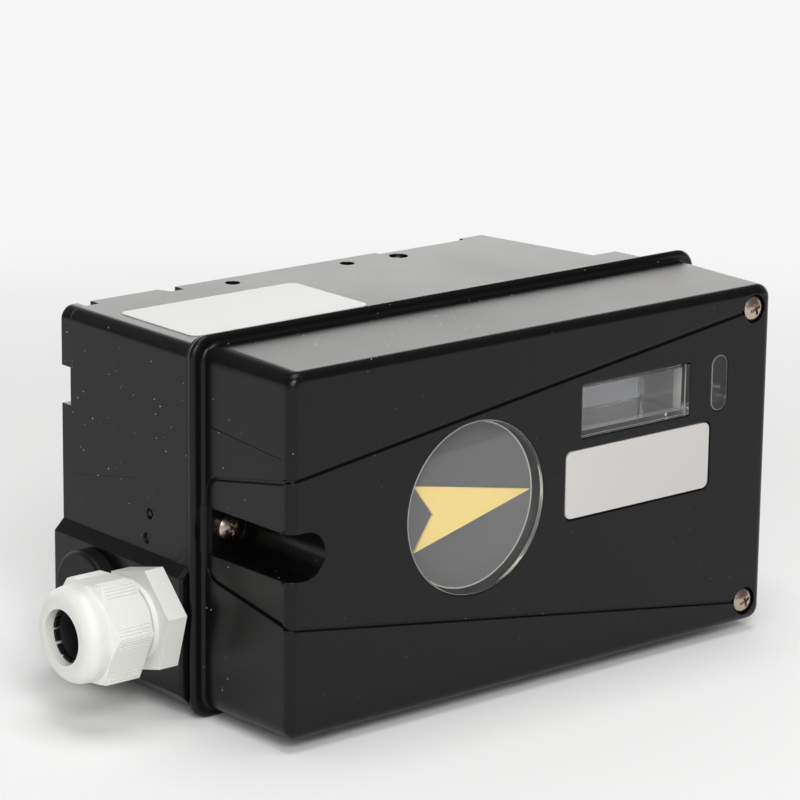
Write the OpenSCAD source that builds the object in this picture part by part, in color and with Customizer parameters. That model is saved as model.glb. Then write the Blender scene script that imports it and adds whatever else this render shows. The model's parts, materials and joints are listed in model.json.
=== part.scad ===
// Digital valve positioner: cast housing with a screwed front cover, a feedback spindle
// that carries an arrow behind a round window, a pneumatic relay and a cable gland.
// Frame: X to the right, Y to the rear, Z up. The origin is on the spindle axis, in the plane
// of the rear mounting pad. All sizes are millimetres.

/* [Front cover] */
// Width of the front face
cover_w = 161; // [157:1:190]
// Height of the front face
cover_h = 92; // [90:1:110]
// Depth of the cover, from its front face to its flange
cover_depth = 33.5; // [31:0.5:45]
// Wall thickness of the cover
cover_wall = 3; // [2.5:0.1:3.5]
// Corner radius of the cover and the housing, seen from the front
corner_r = 3.5; // [3.5:0.25:6]
// Corner radius inside the cover and the housing
inner_corner_r = 2; // [1.75:0.25:3]
// Radius of the rounded front edge
edge_r = 2.5; // [1.5:0.25:2.75]
// Draft angle of the cover's sides
draft = 1; // [0.25:0.25:1.5]
// Thickness of the cover's flange
flange_t = 2.35; // [2:0.05:4]
// How far the flange stands out at the left and right
flange_side = 4; // [3.5:0.1:6]
// How far the flange stands out at the top and bottom
flange_top = 3; // [2.5:0.1:5]
// Thickness of the gasket between cover and housing
gasket_t = 1.15; // [0.8:0.05:2]
// Setback of the gasket's edge from the flange's edge
gasket_setback = 0.9; // [0.5:0.1:1.5]

/* [Cover details] */
// Width of the decorative grooves
groove_w = 1.1; // [0.8:0.1:1.6]
// Depth of the decorative grooves
groove_depth = 0.8; // [0.5:0.1:1.2]
// Height of the upper groove at the left front edge
groove_upper_z = 17; // [14:0.5:22]
// Height of the lower groove at the left front edge
groove_lower_z = -20.5; // [-25:0.5:-17]
// How much each groove closes in along the left side
groove_close = 4.6; // [2:0.2:6]
// Corner radius of the panel that the grooves draw on the left side
groove_corner_r = 5; // [3:0.5:6]
// Half width of the slot for the left cover screw
slot_r = 6; // [5:0.25:7]
// Distance of the slot's round end from the left edge
slot_inset = 5; // [4.5:0.25:8]
// Height of the slot's centre line
slot_z = -2.5; // [-4:0.5:0]
// Wall around the slot
slot_wall = 2.5; // [2:0.1:3]
// Floor of the slot in front of the flange
slot_floor = 2; // [1:0.25:4]

/* [Windows and plate] */
// Radius of the indicator window
indicator_r = 22.4; // [21:0.1:23.5]
// Gap round each window in its opening
window_fit = 0.1; // [0.05:0.01:0.2]
// Width of the flange that holds each window from inside
window_flange = 2.5; // [1.5:0.1:3]
// Thickness of that flange
window_flange_t = 1; // [0.8:0.1:1.1]
// Width of the display window
display_w = 38.1; // [34:0.1:42]
// Height of the display window
display_h = 14.1; // [12:0.1:16]
// Corner radius of the display window
display_r = 0.5; // [0.3:0.1:1]
// Distance of the display's centre from the cover's right edge
display_inset = 48.2; // [45:0.1:49]
// Height of the display's centre
display_z = 19; // [18:0.1:20]
// Depth of the display glass behind the front face
display_depth = 19; // [17:0.5:20]
// Side wall of the display window's clear box
display_wall = 1.4; // [1:0.1:2]
// Width of the lamp slot
lamp_w = 5.8; // [5:0.1:7]
// Height of the lamp slot
lamp_h = 15; // [12:0.1:17]
// Distance of the lamp slot from the cover's right edge
lamp_inset = 18.5; // [17:0.1:19]
// Width of the name plate
plate_w = 50.9; // [40:0.1:52]
// Height of the name plate
plate_h = 18.3; // [12:0.1:19]
// Distance of the plate's centre from the cover's right edge
plate_inset = 46.8; // [43:0.1:47]
// Corner radius of the name plate
plate_r = 2; // [1:0.1:3]
// Thickness of the name plate
plate_t = 0.8; // [0.5:0.1:1.2]

/* [Screws] */
// Distance of the right cover screws from the right edge
screw_inset_x = 6.4; // [6:0.1:8]
// Distance of the right cover screws from the top and bottom edges
screw_inset_z = 5.9; // [5.5:0.1:8]
// Radius of a cover screw's head
screw_head_r = 3.2; // [3:0.1:3.5]
// Height of a cover screw's head
screw_head_h = 2.4; // [2:0.1:3]
// Radius of a cover screw's shank
screw_r = 1.95; // [1.5:0.05:2]
// Length of thread in the housing
screw_grip = 9; // [6:0.5:11]
// Gap round a screw in its clearance hole
screw_gap = 0.25; // [0.15:0.05:0.4]
// Gap round a screw in its threaded hole
thread_gap = 0.05; // [0.02:0.01:0.08]
// Depth of the recess for a head on the front face
head_recess = 1.8; // [0.8:0.1:2]
// Gap round a head in its recess
head_gap = 0.6; // [0.3:0.1:0.8]
// Radius of the small screws that hold boards and blocks
small_screw_r = 1.25; // [1:0.05:1.5]
// Head height of the small screws
small_head_h = 1.6; // [1.2:0.1:2]
// Length of thread of the small screws
small_grip = 4; // [3:0.25:4.5]

/* [Housing] */
// Distance of the spindle axis from the left edge of the front face
spindle_from_left = 59; // [57:0.5:61]
// Distance of the spindle axis from the bottom edge of the front face
spindle_from_bottom = 49; // [48:0.5:50]
// Depth of the housing
housing_depth = 53; // [52:0.5:60]
// Wall thickness of the housing
housing_wall = 4; // [3.5:0.1:4.5]
// Thickness of the housing's rear wall
floor_t = 10; // [9:0.5:11]
// How far the housing's side stands out past the front face
housing_side = 3; // [2.5:0.1:3.4]
// How far the housing's top stands out past the front face
housing_top = 0.3; // [0:0.1:1]
// Depth of the wide rim behind the cover at the right
rim_depth = 6; // [5:0.5:7]
// Distance of the shoulder at the right from the cover's right edge
shoulder_inset = 7.5; // [7:0.1:8]
// Distance of the shoulder's rear face from the rear
shoulder_from_rear = 37.6; // [36:0.2:38]
// Distance of the port wall's front end from the cover's right edge
port_wall_front = 15.8; // [15:0.1:17]
// Distance of the port wall's rear end from the cover's right edge
port_wall_rear = 23; // [21:0.1:24]
// How far the cable entry boss stands out from the left wall
boss_out = 2.8; // [2:0.1:3.2]
// Height of the upper edge of the cable entry boss
boss_top_z = -12.5; // [-13:0.25:-11]
// Depth of the recess in the rear face
rear_recess = 3.5; // [2.5:0.25:4]
// Width of the rim round the rear recess
rear_rim = 3.5; // [3:0.25:4.5]
// Width of the ribs in the rear recess
rear_rib = 4; // [3:0.25:6]
// Height of the left wall's rear notch
side_notch_z = 18; // [14:0.5:22]
// Length of the left wall's rear notch
side_notch = 10; // [6:0.5:12]
// Length of the top wall's corner notch
corner_notch = 9; // [7:0.5:12]
// Place of the top wall's second notch
top_notch_x = -31.3; // [-34:0.1:-28]
// Length of the top wall's second notch
top_notch = 5; // [4:0.5:8]
// Place of the shallow dip in the rear edge of the top
dip_x = 41; // [38:0.5:44]
// Length of that dip
dip_len = 30; // [20:0.5:34]
// Place of the left blind hole in the top
top_hole_left = -11.7; // [-14:0.1:-8]
// Place of the right blind hole in the top
top_hole_right = 26.7; // [24:0.1:30]
// Place of the earth screw in the top
earth_x = 43.5; // [42:0.1:46]
// Radius of the blind holes in the top
top_hole_r = 2; // [1.5:0.1:2.2]

/* [Mounting and ports] */
// Pitch circle of the actuator bolts
bolt_pcd = 50; // [48:0.5:52]
// Radius of the actuator bolt holes
bolt_r = 2.5; // [2:0.05:3]
// Depth of the actuator bolt holes
bolt_depth = 13; // [11:0.5:14]
// Radius of the mounting pad
pad_r = 32.5; // [31.5:0.25:34]
// Radius of a threaded air port
port_r = 5.72; // [5:0.02:6.5]
// Depth of a threaded air port
port_depth = 13; // [10:0.5:14]
// Distance of the outer air channels from the relay's ends
port_margin = 6; // [5:0.25:7]
// Distance of the air ports from the rear
port_from_rear = 20; // [19.5:0.25:20.5]
// Radius of the flat seat round a port
port_seat_r = 9; // [8:0.25:9.5]
// Distance of the port block's inner face from the cover's right edge
port_block_inset = 40; // [39:0.25:41]
// Radius of a port's inner channel
channel_r = 2.5; // [2:0.1:3]

/* [Cable entries] */
// Radius of the threaded cable entries
entry_r = 9.25; // [9:0.05:9.5]
// Height of the cable entries
entry_z = -27.4; // [-28:0.1:-27]
// Distance of the front entry from the cover joint
entry_inset = 10.2; // [10:0.1:10.8]
// Distance of the rear entry from the rear
entry_rear = 17.4; // [17:0.1:18]
// Width across the flats of the gland's hexagon
gland_hex = 24.8; // [24:0.1:25.4]
// Thickness of the gland's hexagon
gland_hex_t = 5.7; // [4.5:0.1:7]
// Turn of the gland's hexagon
gland_turn = 46; // [40:0.5:60]
// Length of the gland's thread in the wall
gland_thread = 10; // [8:0.5:12]
// Length of the gland's neck in front of the hexagon
gland_neck = 12; // [10:0.5:13]
// Radius of the gland's neck
gland_neck_r = 9; // [8.8:0.05:9.2]
// Radius of the round collar in front of the gland's hexagon
gland_collar_r = 9.9; // [9.5:0.1:10.5]
// Thickness of the gland's collar
gland_collar_t = 1.4; // [1:0.1:2]
// Radius of the cable hole in the gland's seal
cable_r = 5; // [3:0.1:5.5]
// Radius of the mouth of the gland's nut
gland_mouth_r = 7.1; // [6:0.1:7.3]
// Width across the flats of the gland's nut
gland_nut_af = 24.8; // [24:0.1:25.4]
// Turn of the gland's nut
gland_nut_turn = 55.7; // [0:0.1:60]
// Length of the flats on the gland's nut
gland_flat_len = 10.1; // [9:0.1:11]
// Rounding of the gland's dome
gland_dome_r = 4; // [3:0.1:5]
// Gap between the gland's hexagon and its nut
gland_gap = 4.6; // [4:0.1:5]
// Length of the gland's nut
gland_nut_len = 17.5; // [17:0.1:19]
// Radius of the blanking plug's head
plug_r = 11.2; // [10.5:0.1:11.5]
// Height of the blanking plug's head
plug_h = 4.4; // [3:0.1:6]

/* [Spindle] */
// Radius of the spindle's end outside the housing
stub_r = 5; // [4:0.1:5]
// Length of that end
stub_len = 12; // [8:0.5:14]
// Width of the driving tongue
tongue_w = 3.9; // [3:0.1:5]
// Length of the driving tongue
tongue_len = 4; // [3:0.5:6]
// Radius of the spindle in its bush
journal_r = 6; // [5.8:0.1:6.2]
// Radial running clearance of the spindle
running = 0.04; // [0.02:0.01:0.08]
// Wall thickness of the spindle's bush
bush_wall = 2; // [1.8:0.1:2.4]
// Length of the hub inside the housing
hub_len = 14; // [12:0.5:15]
// Wall thickness of the hub
hub_wall = 3; // [2.5:0.1:3.5]
// Radius of the spindle's front shaft
shaft_r = 4; // [3:0.1:4.5]
// Thickness of the spindle's collar
collar_t = 1.7; // [1.2:0.1:2.4]
// Axial play of the spindle
end_play = 0.3; // [0.2:0.05:0.4]
// Radius of the arrow disc
disc_r = 21.6; // [19.5:0.1:21.8]
// Thickness of the arrow disc
disc_t = 1.2; // [0.8:0.1:2]
// Depth of the arrow disc behind the front face
disc_depth = 4.9; // [4.8:0.1:6.5]
// Thickness of the arrow
arrow_t = 0.6; // [0.4:0.1:0.8]
// Half width of the arrow across its tails
arrow_half = 8.6; // [6:0.1:9]
// Reach of the arrow's tip from the axis
arrow_tip = 20.4; // [16:0.1:20.5]
// Reach of the arrow's tails behind the axis
arrow_tail = 17.9; // [14:0.1:18.5]
// Depth of the notch between the tails
arrow_notch = 6.2; // [3:0.1:9]
// Turn of the arrow on its disc
arrow_turn = 1.8; // [-5:0.1:5]

/* [Feedback gears] */
// Tooth module
gear_module = 1; // [0.9:0.05:1.05]
// Teeth on the spindle gear
spindle_teeth = 32; // [32]
// Teeth on the potentiometer gear
sensor_teeth = 16; // [16]
// Play between teeth
backlash = 0.25; // [0.15:0.05:0.4]
// Thickness of the gears
gear_t = 4; // [3:0.5:5]
// Radius of the potentiometer's body
sensor_r = 8; // [7:0.25:8.5]
// Length of the potentiometer's body
sensor_len = 9; // [7:0.5:9.5]
// Radius of the potentiometer's shaft
sensor_shaft_r = 3; // [2:0.1:3.2]
// Sheet thickness of the potentiometer's bracket
bracket_t = 1.5; // [1:0.1:2]

/* [Electronics] */
// Thickness of the circuit boards
board_t = 1.6; // [1:0.1:2]
// Distance of the main board from the housing's floor
board_rise = 27; // [26:0.5:28]
// Width across the flats of the standoffs
standoff_hex = 5.5; // [4:0.25:6]
// Thickness of the inner cover
inner_t = 2; // [1.5:0.1:3]
// Height of the display unit
unit_h = 42; // [40:0.5:43]
// Thickness of the display module
module_t = 4; // [3:0.25:5]
// Width of the rim round the display glass
module_rim = 1.8; // [1.4:0.1:2.4]
// Radius of a push button
button_r = 2.6; // [2:0.1:3]
// Distance between push buttons
button_pitch = 8.5; // [8:0.25:9]
// Length of a push button's cap
button_len = 3.7; // [3:0.1:5]
// Travel of a push button
button_travel = 0.5; // [0.3:0.05:0.6]
// Width of a switch body
switch_w = 6; // [5:0.25:6.5]
// Height of a switch body
switch_h = 3.5; // [3:0.25:4]
// Width of the terminal block
terminal_w = 45; // [30:1:50]
// Height of the terminal block
terminal_h = 12; // [9:0.5:13]
// Depth of the terminal block
terminal_d = 10; // [8:0.5:11]

/* [Pneumatics] */
// Width of the relay block
relay_w = 24; // [22:0.5:26]
// Depth of the relay block
relay_d = 24; // [22:0.5:26]
// Gap between the relay's upper end cap and the housing
relay_gap = 5.3; // [4.5:0.1:6]
// Thickness of the relay's gasket
relay_gasket_t = 1; // [0.5:0.1:1.5]
// Radius of the spool
spool_r = 5; // [4:0.1:5.5]
// Travel of the spool to each side
spool_travel = 1.5; // [1:0.1:2]
// Thickness of the relay's end caps
end_cap_t = 3; // [2:0.25:4]
// Width of the pilot valve
pilot_w = 18; // [14:0.5:20]
// Height of the pilot valve
pilot_h = 26; // [20:0.5:30]
// Gap between the pilot valve and the inner cover
pilot_gap = 2.5; // [1:0.1:4]

/* [Hidden] */
$fn = 48;
eps = 0.5;

// Planes across the depth
y_joint = -housing_depth;
y_gasket = y_joint - gasket_t;
y_flange = y_gasket - flange_t;
y_front = y_flange - cover_depth;
y_inside = y_front + cover_wall;
y_floor = -floor_t;
y_small_end = y_floor + small_grip + 0.5;

// Edges of the front face and the housing
cover_x0 = -spindle_from_left;
cover_x1 = cover_w - spindle_from_left;
cover_z0 = -spindle_from_bottom;
cover_z1 = cover_h - spindle_from_bottom;
housing_x0 = cover_x0 - housing_side;
housing_z0 = cover_z0;
housing_z1 = cover_z1 + housing_top;
rim_x1 = cover_x1 + housing_side;
shoulder_x = cover_x1 - shoulder_inset;
flange_r = corner_r + flange_top * 2 / 3;
inner_edge_r = 1.5;
edge_overlap = 0.004;
corner_setback = 0.03;
foot_r = 1.2;
bead_r = flange_t / 2 - corner_setback;

// Marks cast in the left wall, and the corner above the entry boss
mark_y = y_joint + 15.4;
mark_z = boss_top_z + 9.8;
mark_step = 6.6;
mark_r = 1.4;
mark_depth = 0.5;
boss_corner_r = 4.5;

// Holes in the top, and the earth screw
earth_head_r = 2.4;
y_top_holes = -rear_recess - top_hole_r;
z_top_holes = housing_z1 - rear_rim + 0.5;
z_earth_end = z_top_holes - small_grip - 1;

// Cover screws: two at the right corners and one in the left slot
screw_x = cover_x1 - screw_inset_x;
screw_top_z = cover_z1 - screw_inset_z;
screw_low_z = cover_z0 + screw_inset_z;
slot_x = cover_x0 + slot_inset;
y_slot = y_flange - slot_floor;
pillar_wall = 2.3;
pillar_r = screw_r + screw_gap + pillar_wall;
y_screw_end = y_joint + screw_grip;

// Display, lamp and plate
display_x = cover_x1 - display_inset;
lamp_x = cover_x1 - lamp_inset;
plate_x = cover_x1 - plate_inset;
y_glass = y_front + display_depth;
y_unit = y_glass + module_t;
plate_gap = 2.7;
plate_z = display_z - display_h / 2 - plate_h / 2 - plate_gap;
plate_fit = 0.15;

// Spindle stack, from the rear to the front
bush_r = journal_r + bush_wall;
hub_r = bush_r + hub_wall;
y_hub = y_floor - hub_len;
lip_t = 2;
lip_gap = 0.3;
clip_t = 1.2;
clip_r = journal_r + 1.6;
clip_groove_r = journal_r - 0.7;
clip_space = end_play + clip_t + 0.9;
y_clip = end_play - clip_space;
y_lip = -clip_space - lip_t;
seal_gap = 0.1;
seal_r = (bush_r - journal_r - seal_gap) / 2;
y_seal = y_lip - seal_r - seal_gap;
y_bush = y_seal - seal_r - seal_gap;
y_stub = y_clip + clip_t + 1;
tongue_r = stub_r - 0.4;
push_fit = 0.02;
y_collar = y_hub - end_play;
y_gear = y_collar - collar_t;
y_disc = y_front + disc_depth;
y_disc_back = y_disc + disc_t;
disc_hub_r = shaft_r + 2;
disc_hub_len = 6;

// Feedback gears and potentiometer
gear_pitch_r = gear_module * spindle_teeth / 2;
sensor_pitch_r = gear_module * sensor_teeth / 2;
sensor_x = -(gear_pitch_r + sensor_pitch_r);
y_gear_front = y_gear - gear_t;
y_plate = y_floor - sensor_len - bracket_t - eps;
sensor_neck_r = sensor_shaft_r + 1;
nut_hex = 2 * sensor_neck_r + 2.5;
nut_t = 1.6;
y_neck = y_plate - nut_t - 0.4;
bracket_half = sensor_r + 4;
foot_len = 6;

// Relay beside the air ports
port_block_x = cover_x1 - port_block_inset;
seat_x = cover_x1 - port_wall_rear + 1;
relay_x1 = port_block_x - relay_gasket_t;
relay_x0 = relay_x1 - relay_w;
relay_h = 2 * (housing_z1 - housing_wall - end_cap_t - relay_gap);
port_pitch = relay_h / 2 - port_margin;
relay_inset = 4;
relay_y1 = y_floor - 1.5;
relay_y0 = relay_y1 - relay_d;
spool_x = (relay_x0 + relay_x1) / 2;
spool_y = (relay_y0 + relay_y1) / 2;
spool_len = relay_h - 2 * spool_travel - 1;
spool_land = 8;

// Boards
y_inner = y_joint + 1;
pilot_d = relay_y0 - y_inner - inner_t - pilot_gap;
board_y = y_floor - board_rise;
board_left = 12;
board_right = 6;
board_low = 5;
board_high = 3;
board_x0 = housing_x0 + housing_wall + board_left;
board_x1 = relay_x0 - board_right;
board_z0 = housing_z0 + housing_wall + board_low;
board_z1 = housing_z1 - housing_wall - board_high;
standoff_inset = 4;
terminal_count = 9;
terminal_x0 = -terminal_w / 2 - 5;
spindle_hole_r = gear_pitch_r / 2 + 1;
inner_x0 = housing_x0 + housing_wall + 1;
inner_x1 = shoulder_x - housing_wall - 1;
inner_r = 3;
inner_z0 = board_z0 + terminal_h + 3 * standoff_inset;
inner_z1 = board_z1;
unit_rim = 4;
unit_x0 = display_x - display_w / 2 - unit_rim;
unit_x1 = lamp_x + unit_rim + 1;
unit_z1 = display_z + display_h / 2 + unit_rim + 1;
unit_z0 = unit_z1 - unit_h;
post_r = 2.6;
post_inset = 3;
button_z = display_z - display_h / 2 - window_flange - button_r - unit_rim;
button_x0 = display_x - 2 * button_pitch;
plunger_r = button_r - 0.9;
y_switch = y_unit - switch_h;
button_gap = button_travel + 0.3;
y_button = y_switch - button_gap - button_len;

// Gland on the left wall
entry_front = housing_depth - entry_inset;
wall_x = housing_x0 - boss_out;
washer_t = 0.8;
washer_gap = 0.1;
gland_washer_r = gland_hex / 2 - 0.6;
plug_washer_r = plug_r - 0.6;
entry_end_x = wall_x + gland_thread + 2;
neck_x = wall_x - gland_hex_t;
neck_end_x = neck_x - gland_neck;
nut_x = neck_x - gland_gap;
nut_end_x = nut_x - gland_nut_len;
gland_bore_r = entry_r - 2;
seal_wall_r = gland_neck_r - 1.2;
clamp_wall = 0.8;
clamp_foot = 1;
clamp_cut = 0.8;
nut_lip = 2.2;
clamp_len = gland_gap + gland_nut_len - gland_neck - nut_lip;
nut_corner_r = gland_nut_af / 2 / cos(30);
nut_dome_r = gland_nut_af / 2 - 0.1;
nut_chamfer = 1.1;
plug_edge_r = 1.2;
plug_key_r = 4.6;

// Layout helpers

module along_y(y0, y1) {
    translate([0, y1, 0]) rotate([90, 0, 0]) linear_extrude(y1 - y0) children();
}

module along_x(x0, x1) {
    translate([x0, 0, 0]) rotate([90, 0, 90]) linear_extrude(x1 - x0) children();
}

module along_z(z0, z1) {
    translate([0, 0, z0]) linear_extrude(z1 - z0) children();
}

module rod_y(x, z, r, y0, y1) {
    along_y(y0, y1) translate([x, z]) circle(r);
}

module rod_x(y, z, r, x0, x1) {
    along_x(x0, x1) translate([y, z]) circle(r);
}

module hex_y(x, z, across, y0, y1) {
    along_y(y0, y1) translate([x, z]) circle(across / 2 / cos(30), $fn = 6);
}

module block(x0, x1, y0, y1, z0, z1) {
    translate([x0, y0, z0]) cube([x1 - x0, y1 - y0, z1 - z0]);
}

module round_rect(x0, x1, z0, z1, r) {
    translate([x0 + r, z0]) square([x1 - x0 - 2 * r, z1 - z0]);
    translate([x0, z0 + r]) square([x1 - x0, z1 - z0 - 2 * r]);
    for (x = [x0 + r, x1 - r], z = [z0 + r, z1 - r]) translate([x, z]) circle(r);
}

module slot_shape(x, z, w, h) {
    translate([x - w / 2, z - h / 2 + w / 2]) square([w, h - w]);
    for (side = [-1, 1]) translate([x, z + side * (h - w) / 2]) circle(w / 2);
}

// Section of a drafted side with a rounded front edge
module edge_section(extent, depth, edge) {
    centre = extent + edge * tan(draft) - edge / cos(draft);
    polygon([
        [0, 0], [centre, 0],
        [centre + edge * cos(draft), edge - edge * sin(draft)],
        [extent + depth * tan(draft), depth], [0, depth]
    ]);
    intersection() {
        translate([centre + edge_overlap, edge - edge_overlap]) circle(edge);
        translate([0, -edge]) square([extent + edge, 3 * edge]);
    }
}

// Sweep of a section round a rectangle with round corners. The section reads $extent, its reach
// from the middle, and $setback, by which the corners lie back so that no two faces coincide.
module round_sweep(x0, x1, z0, z1, y0, r) {
    translate([(x0 + x1) / 2, y0, z0 + r])
        linear_extrude(z1 - z0 - 2 * r)
            for (side = [0, 1]) mirror([side, 0]) {
                $extent = (x1 - x0) / 2;
                $setback = 0;
                children();
            }
    translate([x0 + r, y0, (z0 + z1) / 2])
        rotate([0, 90, 0])
            linear_extrude(x1 - x0 - 2 * r)
                for (side = [0, 1]) mirror([side, 0]) {
                    $extent = (z1 - z0) / 2;
                    $setback = 0;
                    children();
                }
    for (x = [x0 + r, x1 - r], z = [z0 + r, z1 - r])
        translate([x, y0 + corner_setback, z])
            rotate([-90, 0, 0])
                rotate_extrude() {
                    $extent = r - corner_setback;
                    $setback = corner_setback;
                    children();
                }
}

// Concave fillet between the cover's side and its flange
module foot_section() {
    wall = $extent + (cover_depth - foot_r) * tan(draft);
    difference() {
        translate([wall - 1, cover_depth - foot_r]) square([foot_r + 1, foot_r + eps]);
        translate([wall + foot_r - corner_setback, cover_depth - foot_r + corner_setback]) circle(foot_r);
    }
}

// Block with drafted sides, round corners and a rounded front edge
module drafted_block(x0, x1, z0, z1, y0, depth, r, edge) {
    round_sweep(x0, x1, z0, z1, y0, r) edge_section($extent, depth - $setback, edge);
}

// Front cover

module cover_form(inset, y0, depth, r, edge) {
    drafted_block(cover_x0 + inset, cover_x1 - inset, cover_z0 + inset, cover_z1 - inset,
        y0, depth, r, edge);
}

module cover_inside() {
    cover_form(cover_wall, y_inside, cover_depth + flange_t, inner_corner_r, inner_edge_r);
}

module flange_shape(setback) {
    round_rect(cover_x0 - flange_side + setback, cover_x1 + flange_side - setback,
        cover_z0 - flange_top + setback, cover_z1 + flange_top - setback, flange_r - setback);
}

module slot_cut_shape(grow, x0) {
    translate([x0, slot_z - slot_r - grow]) square([slot_x - x0, 2 * (slot_r + grow)]);
    translate([slot_x, slot_z]) circle(slot_r + grow);
}

// Outline on the left side that the two grooves and the flange enclose
module side_panel_shape(inset) {
    y_start = y_front + edge_r;
    y_end = y_flange - foot_r - inset;
    fall = groove_close / (cover_depth - 4);
    upper = groove_upper_z - fall * (y_end - y_front) - inset;
    lower = groove_lower_z + fall * (y_end - y_front) + inset;
    r = groove_corner_r - inset;
    polygon(concat(
        [[y_start, groove_upper_z - fall * edge_r - inset]],
        [for (a = [80 : -16 : 0]) [y_end - r + r * cos(a), upper - r + r * sin(a)]],
        [for (a = [0 : -16 : -80]) [y_end - r + r * cos(a), lower + r + r * sin(a)]],
        [[y_start, groove_lower_z + fall * edge_r + inset]]
    ));
}

module groove_line(z_left, z_right) {
    along_y(y_front - 1, y_front + edge_r + 0.2)
        polygon([
            [cover_x0 - 1, z_left], [screw_x, z_right],
            [screw_x, z_right - groove_w], [cover_x0 - 1, z_left - groove_w]
        ]);
}

module grooves() {
    difference() {
        union() {
            groove_line(groove_upper_z, screw_top_z + groove_w / 2);
            groove_line(groove_lower_z + groove_w, screw_low_z + groove_w / 2);
            along_x(cover_x0 - 2, cover_x0 + corner_r / 2)
                difference() {
                    side_panel_shape(0);
                    side_panel_shape(groove_w);
                    translate([y_front, groove_lower_z + groove_w + groove_close / 3])
                        square([edge_r + eps, groove_upper_z - groove_lower_z - 2 * groove_close]);
                }
        }
        cover_form(groove_depth, y_front + groove_depth, cover_depth, corner_r - groove_depth,
            edge_r - groove_depth);
    }
}

module cover_screw_places() {
    for (z = [screw_top_z, screw_low_z]) translate([screw_x, 0, z]) children();
}

module front_cover() {
    color("#2f2f31") difference() {
        union() {
            difference() {
                cover_form(0, y_front, cover_depth + flange_t, corner_r, edge_r);
                cover_inside();
            }
            difference() {
                union() {
                    along_y(y_flange, y_gasket) flange_shape(bead_r);
                    round_sweep(cover_x0 - flange_side, cover_x1 + flange_side, cover_z0 - flange_top,
                        cover_z1 + flange_top, y_flange, flange_r)
                        translate([$extent - bead_r, flange_t / 2 - $setback]) circle(bead_r);
                    round_sweep(cover_x0, cover_x1, cover_z0, cover_z1, y_front, corner_r) foot_section();
                }
                cover_inside();
            }
            cover_screw_places() rod_y(0, 0, pillar_r, y_inside - eps, y_gasket);
            along_y(y_inside - eps, y_gasket) slot_cut_shape(slot_wall, cover_x0 + cover_wall - eps);
        }
        along_y(y_front - 1, y_slot) slot_cut_shape(0, cover_x0 - flange_side);
        rod_y(slot_x, slot_z, screw_r + screw_gap, y_slot - 1, y_gasket + 1);
        cover_screw_places() rod_y(0, 0, screw_r + screw_gap, y_front - 1, y_gasket + 1);
        cover_screw_places()
            rod_y(0, 0, screw_head_r + head_gap, y_front - 1, y_front + head_recess);
        rod_y(0, 0, indicator_r + window_fit, y_front - 1, y_inside + eps);
        along_y(y_front - 1, y_inside + eps) display_shape(window_fit);
        along_y(y_front - 1, y_inside + eps) lamp_shape(window_fit);
        along_y(y_front - 1, y_front + plate_t) plate_shape(plate_fit);
        grooves();
    }
}

module display_shape(grow) {
    round_rect(display_x - display_w / 2 - grow, display_x + display_w / 2 + grow,
        display_z - display_h / 2 - grow, display_z + display_h / 2 + grow, display_r);
}

module lamp_shape(grow) {
    slot_shape(lamp_x, display_z, lamp_w + 2 * grow, lamp_h + 2 * grow);
}

module plate_shape(grow) {
    round_rect(plate_x - plate_w / 2 - grow, plate_x + plate_w / 2 + grow,
        plate_z - plate_h / 2 - grow, plate_z + plate_h / 2 + grow, plate_r + grow);
}

module indicator_window() {
    color("#cfd4d6", 0.35) {
        rod_y(0, 0, indicator_r, y_front, y_inside);
        along_y(y_inside, y_inside + window_flange_t) difference() {
            circle(indicator_r + window_flange);
            circle(disc_r + 0.6);
        }
    }
}

module display_window() {
    color("#cfd4d6", 0.35) difference() {
        union() {
            along_y(y_front, y_glass - end_play) display_shape(0);
            along_y(y_inside, y_inside + window_flange_t) display_shape(window_flange);
        }
        along_y(y_inside, y_glass) display_shape(-display_wall);
    }
}

module lamp_window() {
    color("#b9bec0", 0.5) {
        along_y(y_front, y_glass - end_play) lamp_shape(0);
        along_y(y_inside, y_inside + window_flange_t) lamp_shape(window_flange - 1);
    }
}

module name_plate() {
    color("#d2cfcd") along_y(y_front, y_front + plate_t) plate_shape(0);
}

// Pan head screw with its head seat at y, pointing to the rear
module pan_screw(y_seat, y_end, r, head_r, head_h) {
    rod_y(0, 0, r, y_seat - eps, y_end);
    translate([0, y_seat, 0]) rotate([90, 0, 0]) difference() {
        intersection() {
            cylinder(r = head_r, h = head_h);
            translate([0, 0, head_h - head_r * 1.6]) sphere(head_r * 1.6);
        }
        for (turn = [0, 90])
            rotate([0, 0, turn + 20])
                translate([-head_r * 0.55, -head_r * 0.13, head_h * 0.45])
                    cube([head_r * 1.1, head_r * 0.26, head_h]);
    }
}

module cover_screws() {
    color("#c9c4bb") {
        cover_screw_places()
            pan_screw(y_front + head_recess, y_screw_end, screw_r, screw_head_r, screw_head_h);
        translate([slot_x, 0, slot_z])
            pan_screw(y_slot, y_screw_end, screw_r, screw_head_r, screw_head_h);
    }
}

module cover_gasket() {
    color("#18181a") along_y(y_gasket, y_joint) difference() {
        union() {
            difference() {
                flange_shape(gasket_setback);
                round_rect(cover_x0 + cover_wall, cover_x1 - cover_wall - screw_inset_x,
                    cover_z0 + cover_wall, cover_z1 - cover_wall, inner_corner_r);
            }
            translate([cover_x0, slot_z - pillar_r]) square([slot_inset, 2 * pillar_r]);
            translate([slot_x, slot_z]) circle(pillar_r);
        }
        for (z = [screw_top_z, screw_low_z]) translate([screw_x, z]) circle(screw_r + screw_gap);
        translate([slot_x, slot_z]) circle(screw_r + screw_gap);
    }
}

// Housing

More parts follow.
